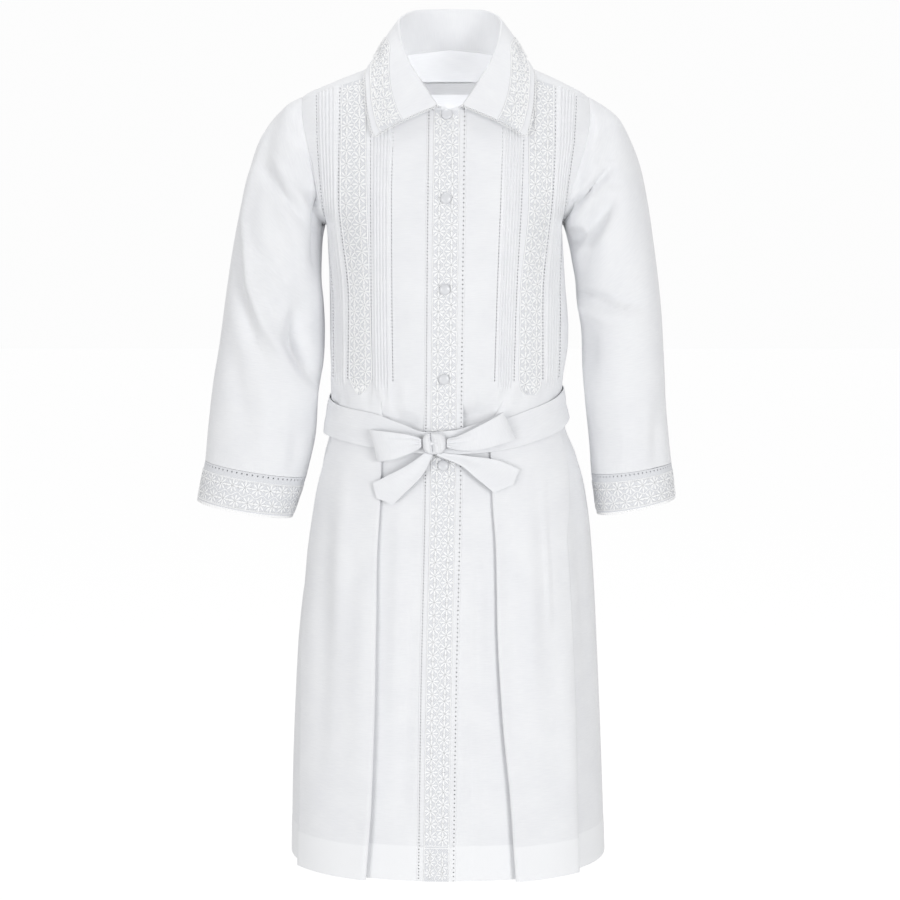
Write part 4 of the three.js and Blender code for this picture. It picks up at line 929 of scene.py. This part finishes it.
def collar_half(side):
    rows = np.column_stack([np.arange(len(COLLAR)), COLLAR])
    at = np.linspace(0, len(COLLAR) - 1, COLLAR_STATIONS + 1)
    neck, roll_x, roll_y, roll_z, edge_x, edge_y, edge_z = (track(rows, k, at) for k in range(1, 8))
    neck = side * np.radians(neck)
    seam_z = neck_height(neck)
    seam = form(neck, seam_z)
    roll = np.stack([side * roll_x, roll_y, roll_z], -1)
    edge = lift_clear(np.stack([side * edge_x, edge_y, edge_z], -1), COLLAR_LIFT)
    outward = unit((edge - seam) * [1, 1, 0])
    down = np.array([0, 0, -ROLL])
    start = on_form(neck, seam_z - STAND_BELOW, -STAND_INSIDE)
    stand_end = roll - outward * ROLL * 0.6 + down
    fall_start = lift_clear(roll + outward * ROLL + down, COLLAR_LIFT)
    length = np.linalg.norm(edge - fall_start, axis=-1)[:, None]
    first = np.maximum(0.06, 1 - COLLAR_LACE_WIDTH / length)
    stops = [0 * first, first / 2, first, mix(first, EDGE_SHARE, 0.33), mix(first, EDGE_SHARE, 0.67),
             0 * first + EDGE_SHARE, 0 * first + 1]
    belly = outward * FALL_BELLY * length
    fall = [lift_clear(mix(fall_start, edge, t) + belly * np.sin(math.pi * t), COLLAR_LIFT) for t in stops]
    stand = [mix(start, stand_end, t) for t in (0, 0.35, 0.7, 1)]
    section = np.stack([*stand, roll, *fall])
    return curve_through(section, COLLAR_SPANS).transpose(1, 0, 2)


def collar_grid():
    return np.concatenate([collar_half(RIGHT)[::-1], collar_half(LEFT)[1:]])


# Sleeve sections: outer line, inner line and depth
SLEEVE = {
    RIGHT: np.array([
        [240, -55, 187, -238, 64], [262, -77, 189, -250, 67], [280, -106, 190, -266, 69],
        [294, -147, 191, -288, 70], [306, -192, 191, -312, 69], [319, -252, 188, -345, 68],
        [331, -325, 186, -385, 66], [342, -400, 189, -430, 63], [353, -462, 197, -478, 60],
        [361, -525, 202, -542, 57], [366.5, -578.5, 216, -603, 54],
    ], float),
    LEFT: np.array([
        [226, -55, 171, -237, 64], [247, -73, 174, -248, 67], [264, -103, 178, -264, 69],
        [279, -141, 182, -286, 70], [290, -189, 186, -310, 69], [300, -250, 189, -342, 67],
        [312, -340, 196, -385, 64], [318, -420, 198, -440, 61], [322, -490, 203, -495, 58],
        [327, -543, 209, -550, 55], [331.5, -581, 212.5, -598, 52],
    ], float),
}
CUFF = {
    RIGHT: np.array([379, -635, 236, -661, 58], float),
    LEFT: np.array([338, -631, 221, -656, 56], float),
}
CUFF_TURNS, CUFF_ROWS = 240, 25
SLEEVE_TURNS, SLEEVE_SPANS = 96, 8
SLEEVE_GAP, SEAM_GAP = 2.4, 0.45
# The largest crease winds down the front: turn from and to, sections, depth and width in degrees
SLEEVE_CREASE = {RIGHT: (20, 205, 1, 8, 7, 24), LEFT: (35, 185, 0, 5, 6, 24)}
# Soft creases on the front and on the back of each sleeve
SLEEVE_CREASES = {
    (RIGHT, -1): [
        (7, 8.5, (-264, -87), (-289, -163), (-300, -221), (-293, -312), (-272, -370), (-243, -409),
         (-198, -480)),
        (11, -10, (-312, -221), (-308, -322), (-288, -392), (-262, -430)),
        (13, -26, (-222, -352), (-228, -400), (-204, -455)),
        (12, -20, (-195, -176), (-184, -232), (-193, -290)),
        (9, -8, (-272, -144), (-241, -187), (-203, -230)),
        (8, 5.0, (-257, -130), (-220, -184), (-196, -218)),
        (9, -6, (-293, -254), (-261, -288), (-237, -312)),
        (8, -6, (-269, -327), (-247, -368)),
        (7, -8, (-202, -88), (-193, -149), (-188, -185)),
        (6, -3.5, (-230, -84), (-219, -112)),
        (14, -4.0, (-322, -395), (-312, -453), (-298, -537)),
        (10, -4.0, (-225, -520), (-233, -590)),
        (14, 3.5, (-270, -450), (-268, -500), (-276, -560)),
    ],
    (RIGHT, 1): [
        (14, -8, (-246, -118), (-232, -165), (-200, -216)),
        (11, 5.0, (-288, -170), (-292, -240), (-276, -310)),
        (12, -8, (-204, -352), (-246, -372), (-306, -366)),
        (11, 5.0, (-204, -398), (-250, -402), (-318, -430)),
        (11, -5.0, (-316, -440), (-300, -500), (-290, -560)),
        (10, 4.0, (-240, -460), (-246, -510), (-238, -560)),
    ],
    (LEFT, -1): [
        (5, -12, (165, -230), (169, -211), (188, -189), (207, -173), (233, -145)),
        (7, 4.0, (174, -196), (202, -160), (235, -127)),
        (9, 4.0, (178, -223), (224, -177), (262, -156)),
        (5, -4.0, (217, -178), (231, -173), (252, -170)),
        (12, -18, (164, -264), (177, -249), (196, -243), (220, -212), (238, -190)),
        (8, -12, (175, -322), (209, -334), (238, -344), (278, -347)),
        (9, 6.0, (185, -348), (228, -363), (280, -367)),
        (7, 5.0, (167, -302), (179, -336), (194, -361)),
        (12, -5.5, (209, -380), (204, -409), (210, -442)),
        (11, -4.5, (310, -487), (305, -537), (306, -590)),
        (15, 3.5, (253, -470), (262, -580)),
    ],
    (LEFT, 1): [
        (14, -8, (236, -112), (218, -160), (190, -208)),
        (11, 5.0, (270, -160), (272, -232), (258, -300)),
        (11, -8, (206, -356), (246, -348), (296, -362)),
        (11, 5.0, (206, -392), (252, -398), (300, -412)),
        (11, -5.0, (226, -450), (236, -505), (232, -560)),
        (11, 4.0, (290, -450), (286, -510), (292, -560)),
    ],
}


def armhole_ring(side, turn, gap):
    half = (ARMHOLE[0, 0] - UNDERARM) / 2
    z = UNDERARM + half + half * np.cos(turn)
    x = armhole_x(side, z)
    angle = np.where(np.sin(turn) < 0, angle_at(x, z, True), angle_at(x, z))
    point = form(angle, z)
    point[:, 0] = x + side * gap
    return point


def section_ring(side, row, turn):
    outer = np.array([side * row[0], 0, row[1]])
    inner = np.array([side * row[2], 0, row[3]])
    point = (outer + inner) / 2 + (outer - inner) * np.cos(turn)[:, None] / 2
    point[:, 1] = -row[4] * np.sin(turn)
    return point


def sleeve_grid(side):
    turn = np.arange(SLEEVE_TURNS) / SLEEVE_TURNS * 2 * math.pi
    start, end, first, last, depth, width = SLEEVE_CREASE[side]
    rings = [armhole_ring(side, turn, SLEEVE_GAP)]
    for i, row in enumerate(SLEEVE[side]):
        point = section_ring(side, row, turn)
        share = (i - first) / (last - first)
        if 0 <= share <= 1:
            away = np.degrees(turn) - mix(start, end, share)
            trough = depth * math.sin(math.pi * min(1, share + 0.15)) ** 0.5 * np.exp(-(away / width) ** 2)
            point = point + unit(point.mean(0) - point) * trough[:, None]
        rings.append(point)
    grid = curve_through(np.stack(rings), SLEEVE_SPANS)
    out = grid_normals(grid, True)
    away = unit(grid - grid.mean(1, keepdims=True))
    out *= np.sign((out * away).sum(-1, keepdims=True))
    # The creases of the front and of the back fade out towards the sleeve's sides
    creased = grid.copy()
    for face in (-1, 1):
        height = crease_height(grid[..., 0], grid[..., 2], SLEEVE_CREASES[side, face])
        creased += out * (height * smooth(face * out[..., 1] * 2.5))[..., None]
    seam = armhole_ring(side, turn, SEAM_GAP)
    return np.concatenate([seam[None], creased])


def cuff_grid(side):
    turn = np.arange(CUFF_TURNS) / CUFF_TURNS * 2 * math.pi
    top, bottom = SLEEVE[side][-1], CUFF[side]
    start = SEAM_GAP / (top[1] - bottom[1])
    shares = np.linspace(start, 1, CUFF_ROWS)
    return np.stack([section_ring(side, mix(top, bottom, t), turn) for t in shares])


# Belt: angle in degrees, top edge and bottom edge
BELT = np.array([
    [-180, -468, -518], [-120, -474, -526], [-85, -483, -537], [-60, -491, -541], [-36, -498, -549],
    [-21, -511, -553], [-9, -523, -556], [0, -521, -557], [12, -510, -555], [26, -504, -550],
    [38, -495, -543], [60, -482, -530], [85, -470, -516], [120, -466, -514], [180, -468, -518],
], float)
BELT_HEIGHT = 9.6
BELT_WALL, BOW_WALL = 1.3, 1.1
BELT_COLUMNS, BELT_ROWS = 360, 13
# The knot's centre, its half width and half height, and how far it gathers the belt
KNOT_X, KNOT_Z = -22, -540
KNOT_WIDE, KNOT_TALL = 16, 17
KNOT_REACH = 55


def belt_grid():
    degrees = np.linspace(-180, 180, BELT_COLUMNS, endpoint=False)
    t = np.linspace(0, 1, BELT_ROWS)[:, None]
    z = mix(track(BELT, 1, degrees), track(BELT, 2, degrees), t)
    angle = np.broadcast_to(np.radians(degrees), z.shape)
    x = form(angle, z)[..., 0]
    near_knot = np.exp(-np.abs(x - KNOT_X) / KNOT_REACH) * (np.cos(angle) > 0)
    # The cloth is gathered at the knot and waves a little elsewhere, with a thicker rim at both edges
    gathers = near_knot * (1.1 * np.sin(2 * math.pi * (2.2 * t + 0.1)) - 0.3)
    waves = 0.35 * np.sin(5 * angle + 4 * t) + 0.25 * np.sin(11 * angle + 1.0)
    rim = 0.35 * (np.exp(-(t / 0.05) ** 2) + np.exp(-((1 - t) / 0.05) ** 2))
    # The top edge is drawn in round the waist, between the pleats and the bow
    drawn_in = (4.2 + 3.2 * np.sin(angle) ** 6) * (1 - t) ** 2 * (1 - near_knot)
    folds = 0.7 * np.sin(9 * t + 2 * np.sin(2 * angle)) * np.sin(math.pi * t)
    return on_form(angle, z, BELT_HEIGHT + gathers + waves + folds + rim - drawn_in)


# Bow stations from the knot outwards: top edge, bottom edge, height in front and behind
LOOP = {
    RIGHT: np.array([
        [-39.6, -533, -39.6, -547, 19, 13], [-54, -526, -52, -556, 25, 12.5],
        [-80, -522, -74, -565, 27, 12.2], [-101, -521, -92, -568, 23, 12.4],
        [-108.5, -521, -98.5, -569, 18, 14.5],
    ], float),
    LEFT: np.array([
        [-4.4, -533, -4.4, -547, 19, 13], [14, -526, 15, -552, 25, 12.5], [40, -512, 44, -551, 27, 12.2],
        [62, -500, 76, -541, 23, 12.4], [71, -495, 88, -536, 18, 14.5],
    ], float),
}
TAIL = {
    RIGHT: np.array([
        [-35, -555.6, -24, -558, 14], [-60, -574, -38, -586, 15], [-85, -588, -58, -607, 13.5],
        [-107, -600, -79, -628, 12],
    ], float),
    LEFT: np.array([
        [-9, -555.2, -20, -558, 14], [32, -560, 14, -572, 11.5], [66, -566, 38, -592, 12.5],
        [96, -580, 61, -611, 12],
    ], float),
}
LOOP_COLUMNS, LOOP_SPANS = 19, 7
TAIL_COLUMNS, TAIL_SPANS = 17, 12
# The height that the loop's cloth swells to at each station, and how far a tail's point reaches
FULLNESS = np.array([0.0, 1.0, 1.6, 1.2, 0.3])
TAIL_POINT = 11


def strip_of_cloth(stations, heights, spans):
    """A strip whose edges run through its stations, with a height above the body form at each point."""
    t = np.linspace(0, 1, heights.shape[1])
    x = mix(stations[:, :1], stations[:, 2:3], t)
    z = mix(stations[:, 1:2], stations[:, 3:4], t)
    rows = curve_through(np.stack([x, z, heights], -1), spans)
    return rows[..., 0], rows[..., 1], rows[..., 2]


def loop_grid(side):
    stations = LOOP[side]
    t = np.linspace(0, 1, LOOP_COLUMNS)
    front = stations[:, 4:5] + FULLNESS[:, None] * (1 - (2 * t - 1) ** 2) * 1.6
    back = np.broadcast_to(stations[::-1, 5:6], front.shape)
    x, z, height = strip_of_cloth(np.concatenate([stations, stations[::-1]]),
                                  np.concatenate([front, back]), LOOP_SPANS)
    away = np.abs(x - KNOT_X)
    gather = np.exp(-(away - 17) / 24) * (np.arange(len(x)) < len(x) / 2)[:, None]
    phase = 0.15 if side == RIGHT else 0.4
    height = height + gather * 2.0 * np.cos(2 * math.pi * (2.4 * t + phase)) * smooth((away - 15) / 8)
    return on_form(angle_at(x, z), z, height)


def tail_grid(side):
    stations = TAIL[side]
    t = np.linspace(0, 1, TAIL_COLUMNS)
    heights = np.broadcast_to(stations[:, 4:5], (len(stations), TAIL_COLUMNS))
    x, z, height = strip_of_cloth(stations, heights, TAIL_SPANS)
    along = np.linspace(0, 1, len(x))[:, None]
    # The belt's ends are cut to a blunt point
    end = np.array([x[-1] - x[-2], z[-1] - z[-2]]).mean(1)
    point = TAIL_POINT * smooth((along - 0.75) / 0.25) * (1 - np.abs(2 * t - 1))
    x = x + point * end[0] / math.hypot(*end)
    z = z + point * end[1] / math.hypot(*end)
    turn = 2 * math.pi * (0.9 * t + (0.1 if side == RIGHT else 0.45))
    height = height + 1.3 * np.sin(turn) * np.sin(math.pi * (0.12 + 0.88 * along)) + 1.0 * along
    return on_form(angle_at(x, z), z, height)


# The knot's section: share of its half width, and height off the body
KNOT_PROFILE = np.array([
    [0.8, 11.4], [1, 14], [1.02, 17.5], [1, 20.5], [0.9, 23.6], [0.66, 25.6], [0.34, 26.4],
])
KNOT_TURNS = 48


def knot_body():
    rows = curve_through(KNOT_PROFILE, 4)
    rows = np.concatenate([[[0.02, 11.4], [0.5, 11.4]], rows, [[0.02, 26.6]]])
    turn = np.arange(KNOT_TURNS) / KNOT_TURNS * 2 * math.pi
    round_x, round_z = (np.sign(v) * np.abs(v) ** 0.75 for v in (np.cos(turn), np.sin(turn)))
    dx = rows[:, :1] * KNOT_WIDE * round_x
    dz = rows[:, :1] * KNOT_TALL * round_z
    # Two upright wraps of the belt, the narrow one to the right, meet in a groove, with finer pulls on them
    across = dx + 3.5 + 0.12 * dz
    groove = 6.5 * np.exp(-(across / 1.9) ** 2)
    crown = 3.2 * np.where(across < 0, ((across + 6) / 6) ** 2, ((across - 9.5) / 9.5) ** 2)
    pulls = 1.0 * np.sin(across * 1.35 + 0.5) * np.exp(-((across - 8) / 8) ** 2)
    fade = smooth((rows[:, 1:] - 14) / 6)
    height = rows[:, 1:] - (groove + crown - pulls) * fade
    grid = on_form(angle_at(KNOT_X + dx, KNOT_Z + dz), KNOT_Z + dz, height)
    index = np.arange(grid[..., 0].size).reshape(grid.shape[:2])
    here, there = index[:-1], index[1:]
    quads = np.stack([here, np.roll(here, -1, 1), np.roll(there, -1, 1), there], -1).reshape(-1, 4)
    ends = []
    for cap in (index[0, ::-1], index[-1]):
        ends += [cap[[k, k + 1, -k - 2, -k - 1]] for k in range(KNOT_TURNS // 2 - 1)]
    quads = np.concatenate([quads, np.array(ends)])
    points = grid.reshape(-1, 3)
    return points, quads, points[quads][..., [0, 2]]


# Camera at the photograph's place, aimed as it was
camera = bpy.data.objects.new("camera", bpy.data.cameras.new("camera"))
camera.data.lens = 79.556
camera.data.sensor_width = 36
camera.data.clip_end = 60
camera.location = (0, -2.96, -0.19182)
camera.rotation_euler = (math.radians(90 - 7.1644), 0, 0)
bpy.context.scene.collection.objects.link(camera)
bpy.context.scene.camera = camera


# Cloth pieces
def cloth_piece(node, grid, thickness=CLOTH, closed=False, holes=None, finish=COTTON):
    make_piece(f"{node}_cloth", shell(grid, thickness, closed, holes), finish, [node])


def net_piece(node, grid, thickness=NET, closed=False, holes=None):
    make_piece(f"{node}_net", shell(grid, thickness, closed, holes), LACE_NET, [node])


def thread_piece(node, parts):
    make_piece(f"{node}_threads", joined(parts), LACE_THREAD)


cloth_piece("yoke", yoke_grid())
cloth_piece("back", back_grid())
for side, word in SIDES:
    grid, z = front_grid(side)
    cloth_piece(f"front_{word}", grid, holes=eyelet_mask(grid, z, EYELET_COLUMNS))
    cloth_piece(f"sleeve_{word}", sleeve_grid(side), closed=True)

# The placket lies lower at both edges, and a column of eyelets runs down beside each
PLACKET_STOPS = (-28, -26.2, -24.4, -20, -16, -8, 0, 8, 16, 20, 24.4, 26.2, 28)
PLACKET_HEIGHT, PLACKET_EDGE_HEIGHT = 1.0, 0.6
placket_heights = np.full(len(PLACKET_STOPS), PLACKET_HEIGHT)
placket_heights[[0, -1]] = PLACKET_EDGE_HEIGHT
grid, z = placket_grid(PLACKET_STOPS, placket_heights)
eyelets = eyelet_mask(grid, z, (1,), above=HEM, every=3) | eyelet_mask(grid, z, (10,), above=HEM, every=4)
cloth_piece("placket", grid, holes=eyelets)
collar = collar_grid()
cloth_piece("collar", collar, COLLAR_WALL)
cloth_piece("belt", belt_grid(), BELT_WALL, closed=True)
make_piece("bow_knot_cloth", knot_body(), COTTON, ["bow_knot"])
for side, word in SIDES:
    cloth_piece(f"bow_loop_{word}", loop_grid(side), BOW_WALL)
    cloth_piece(f"bow_tail_{word}", tail_grid(side), BOW_WALL)

# The label lies inside the back of the neck
LABEL_HALF, LABEL_TOP, LABEL_BOTTOM = 45, -16, -33
LABEL_INSIDE, LABEL_WALL = 2.4, 0.5
x, z = np.meshgrid(np.linspace(-LABEL_HALF, LABEL_HALF, 25), np.linspace(LABEL_TOP, LABEL_BOTTOM, 5))
angle = angle_at(x, z, True)
grid = on_form(np.where(angle < 0, angle + 2 * math.pi, angle), z, -LABEL_INSIDE)
cloth_piece("label", grid, LABEL_WALL, finish=LABEL_CLOTH)

# Lace pieces
# Height, then the share of its width that the chest lace keeps: pointed on the right, rounded on the left
CHEST_LACE_END = np.array([
    [-440, 1, 1], [-446, 1, 1], [-456, 0.82, 0.95], [-465, 0.48, 0.78], [-473, 0.1, 0.36],
])
CHEST_END_PITCH = 1.8
LACE_WIDTH = 36
LACE_EDGES = (0.6, 35.4)
# How far the threads and the cords lie above the middle of the net, and the nets above the cloth's
LACE_LIFT, CORD_LIFT = 0.6, 0.5
PLACKET_NET, CHEST_NET, COLLAR_NET = 1.75, 1.0, 0.4
CUFF_WALL = 0.8
grid = placket_grid(np.linspace(-LACE_WIDTH / 2, LACE_WIDTH / 2, 13), PLACKET_NET, PLACKET_TOP - 0.3)[0]
net_piece("placket_lace", grid)
place, length = strip_map(grid, flip=-1)
# The lace is pieced at the hem's line of stitches
pieced = length - HEM_DEPTH
parts = (lace_band(place, LACE_WIDTH, 1, pieced - 1, LACE_LIFT)
         + lace_band(place, LACE_WIDTH, pieced + 3, length - 1, LACE_LIFT))
parts.append(cords(place, LACE_WIDTH, length, LACE_EDGES, CORD_LIFT, 450))
for v in (pieced - 1, pieced + 2.5):
    across = np.linspace(0.02, 0.98, 13)[None]
    paths, normals = place(across, np.full(across.shape, v), LACE_LIFT)
    parts.append(threads(paths, normals, 0.7, 0.6, closed=False))
thread_piece("placket_lace", parts)

for side, word in SIDES:
    angle, z, height = front_rows(side)
    rows = np.nonzero(z[:, LACE_START + LACE_SPANS // 2] > CHEST_LACE_END[0, 0])[0]
    end_z = np.arange(CHEST_LACE_END[0, 0], CHEST_LACE_END[-1, 0] - 1, -CHEST_END_PITCH)
    end_angle, end_height = front_columns(side, end_z)
    end_z = np.broadcast_to(end_z[:, None], end_angle.shape)
    lace_angle, lace_z, lace_height = (
        np.concatenate([field[rows], end])[:, CHEST_LACE_COLUMNS]
        for field, end in ((angle, end_angle), (z, end_z), (height, end_height)))
    centre = lace_angle.mean(1, keepdims=True)
    share = track(CHEST_LACE_END, 1 if side == RIGHT else 2, lace_z)
    lace_angle = centre + (lace_angle - centre) * share
    grid = front_surface(side, lace_angle, lace_z, lace_height + CHEST_NET)
    net_piece(f"chest_lace_{word}", grid)
    place, length = strip_map(grid, flip=-side)
    width = np.linalg.norm(grid[:, 0] - grid[:, -1], axis=-1).mean()
    parts = lace_band(place, width, 1, length - 1, LACE_LIFT)
    parts.append(cords(place, width, length, (0.6, width - 0.6), CORD_LIFT, 160))
    thread_piece(f"chest_lace_{word}", parts)

for side, word in SIDES:
    half = slice(0, COLLAR_STATIONS - 2) if side == RIGHT else slice(COLLAR_STATIONS + 3, None)
    outer_face = collar - grid_normals(collar) * (COLLAR_WALL / 2 + COLLAR_NET)
    grid = outer_face[half, COLLAR_LACE_COLUMNS]
    net_piece(f"collar_lace_{word}", grid)
    place, length = strip_map(grid, flip=-1)
    parts = lace_band(place, LACE_WIDTH, 1, length - 1, LACE_LIFT)
    parts.append(cords(place, LACE_WIDTH, length, LACE_EDGES, CORD_LIFT, 90))
    parts.append(beads(place, LACE_WIDTH, length, (2.4, 4.6, 34), 0.4))
    # The loops round the whole collar's edge are made once, with the first of the two laces
    if side == RIGHT:
        edge, inward = collar[:, -1], collar[:, -3]
        parts.append(picots(edge, grid_normals(collar)[:, -1], edge - inward))
        for end, beside in ((0, 1), (-1, -2)):
            front_edge = collar[end, FRONT_EDGE_COLUMN:]
            parts.append(picots(front_edge, grid_normals(collar)[end, FRONT_EDGE_COLUMN:],
                                front_edge - collar[beside, FRONT_EDGE_COLUMN:]))
    thread_piece(f"collar_lace_{word}", parts)

for side, word in SIDES:
    grid = cuff_grid(side)
    holes = np.zeros((grid.shape[0] - 1, grid.shape[1]), bool)
    holes[1, ::4] = True
    net_piece(f"cuff_{word}", grid, CUFF_WALL, closed=True, holes=holes)
    # The lace runs round the cuff, so its strip is the cuff's grid turned on its side
    turned = grid[5:-1].transpose(1, 0, 2)
    looped = np.concatenate([turned, turned[:1]])
    # The map's normals are turned so that they point away from the arm
    place, length = strip_map(looped)
    test, normal = place(np.array([0.5]), np.array([10.0]), 0.0)
    centre = grid.reshape(-1, 3).mean(0)
    if ((test - centre) * normal).sum() < 0:
        place, length = strip_map(looped, flip=-1)
    width = np.linalg.norm(grid[5, 0] - grid[-2, 0])
    parts = lace_band(place, width, 0, length, 0.9, ends=False)
    parts.append(cords(place, width, length, (0.6, width - 0.6), 0.8, 200))
    parts.append(beads(place, width, length, (2.4, width - 2.4), 0.7))
    bottom = np.concatenate([grid[-1], grid[-1][:1]])
    above = np.concatenate([grid[-3], grid[-3][:1]])
    out = unit(bottom - centre)
    parts.append(picots(bottom, out, bottom - above))
    thread_piece(f"cuff_{word}", parts)


# Buttons, modelled once and copied to each place
BUTTON_RADIUS, BUTTON_RIM, BUTTON_SEAT = 8.0, 1.6, 3.2
BUTTON_HEIGHTS = (-72, -190, -318, -447, -572)


def button_blank():
    bpy.ops.object.select_all(action="DESELECT")
    bpy.ops.mesh.primitive_cylinder_add(vertices=32, radius=BUTTON_RADIUS * MM, depth=BUTTON_RIM * MM,
                                        end_fill_type="NGON", location=(0, 0, BUTTON_RIM / 2 * MM))
    blank = bpy.context.object
    bpy.ops.object.mode_set(mode="EDIT")
    bpy.ops.mesh.select_all(action="DESELECT")
    mesh = bmesh.from_edit_mesh(blank.data)
    for face in mesh.faces:
        face.select_set(face.normal.z > 0.9)
    bmesh.update_edit_mesh(blank.data)
    # The dome: steps inwards and up from the rim to the crown
    for inset, lift in ((0.7, 0.85), (1.2, 0.75), (1.6, 0.5), (2.0, 0.28), (1.6, 0.06)):
        bpy.ops.mesh.inset(thickness=inset * MM, depth=lift * MM)
    bpy.ops.object.mode_set(mode="OBJECT")
    bevel = blank.modifiers.new("worn_rim", "BEVEL")
    bevel.width = 0.35 * MM
    bevel.segments = 2
    bevel.limit_method = "ANGLE"
    bpy.ops.object.modifier_apply(modifier=bevel.name)
    bpy.ops.object.shade_smooth_by_angle(angle=math.radians(40))
    return blank


blank = button_blank()
for number, height in enumerate(BUTTON_HEIGHTS, 1):
    angle = angle_at(track(PLACKET, 1, np.array(float(height))), np.array(float(height)))
    out = form_out(angle, np.array(float(height)))
    seat = on_form(angle, np.array(float(height)), BUTTON_SEAT)
    up = unit(np.array([0, 0, 1]) - out * out[2])
    turn = np.column_stack([np.cross(up, out), up, out])
    mesh = blank.data.copy()
    points = np.zeros(len(mesh.vertices) * 3, np.float32)
    mesh.vertices.foreach_get("co", points)
    location = np.array([0, 0, BUTTON_RIM / 2 * MM])
    placed = (points.reshape(-1, 3) + location) @ turn.T + seat * MM
    mesh.vertices.foreach_set("co", placed.astype(np.float32).ravel())
    mesh.update()
    mesh.materials.clear()
    mesh.materials.append(PEARL)
    button = bpy.data.objects.new(f"button_{number}_pearl", mesh)
    bpy.context.scene.collection.objects.link(button)
    settle(button, [f"button_{number}"])
bpy.data.objects.remove(blank)

# Studio: a pale floor and backdrop, and soft light
BACKDROP_SHOWN, BACKDROP_LIGHT = 0.98, 0.55
bpy.ops.object.select_all(action="DESELECT")
bpy.ops.mesh.primitive_plane_add(size=40, location=(0, 0, -1.9))
floor = bpy.context.object
floor.name = "floor"
floor.data.materials.append(studio_white("matt_white_paper", "#B0B0B0", 0.73))
floor.visible_diffuse = False

# The backdrop looks white, and gives less light than it shows, so that the soft boxes shape the cloth
world = bpy.data.worlds.new("studio")
world.use_nodes = True
backdrop = world.node_tree.nodes["Background"]
backdrop.inputs["Color"].default_value = (1, 1, 1, 1)
seen = add_node(world.node_tree, "LightPath").outputs["Is Camera Ray"]
strength = add_node(world.node_tree, "Math", {"operation": "MULTIPLY_ADD"}, i0=seen,
                    i1=BACKDROP_SHOWN - BACKDROP_LIGHT, i2=BACKDROP_LIGHT)
world.node_tree.links.new(strength.outputs[0], backdrop.inputs["Strength"])
bpy.context.scene.world = world


def soft_box(name, place, aim, size, power):
    lamp = bpy.data.lights.new(name, "AREA")
    lamp.shape = "RECTANGLE"
    lamp.size, lamp.size_y = size
    lamp.energy = power
    light = bpy.data.objects.new(name, lamp)
    bpy.context.scene.collection.objects.link(light)
    light.location = place
    direction = np.array(aim, float) - np.array(place, float)
    yaw = math.atan2(direction[0], direction[1])
    light.rotation_euler = (math.acos(-direction[2] / np.linalg.norm(direction)), 0, -yaw)
    return light


soft_box("key", (2.4, -3.8, -0.2), (0, 0, -0.8), (1.5, 1.5), 74)
soft_box("fill", (-2.8, -4.0, -0.8), (0, 0, -0.8), (2.0, 2.0), 66)
soft_box("overhead", (-0.3, 0.4, 2.2), (0, 0, 0), (1.2, 1.0), 22)
# The inside of the neck is lit from within, as light as the outside
neck_light = soft_box("inside_neck", (0, 0.0, -0.11), (0, 0.1, 0.0), (0.1, 0.06), 0.15)
neck_light.visible_camera = False
scene = bpy.context.scene
scene.view_settings.view_transform = "Standard"

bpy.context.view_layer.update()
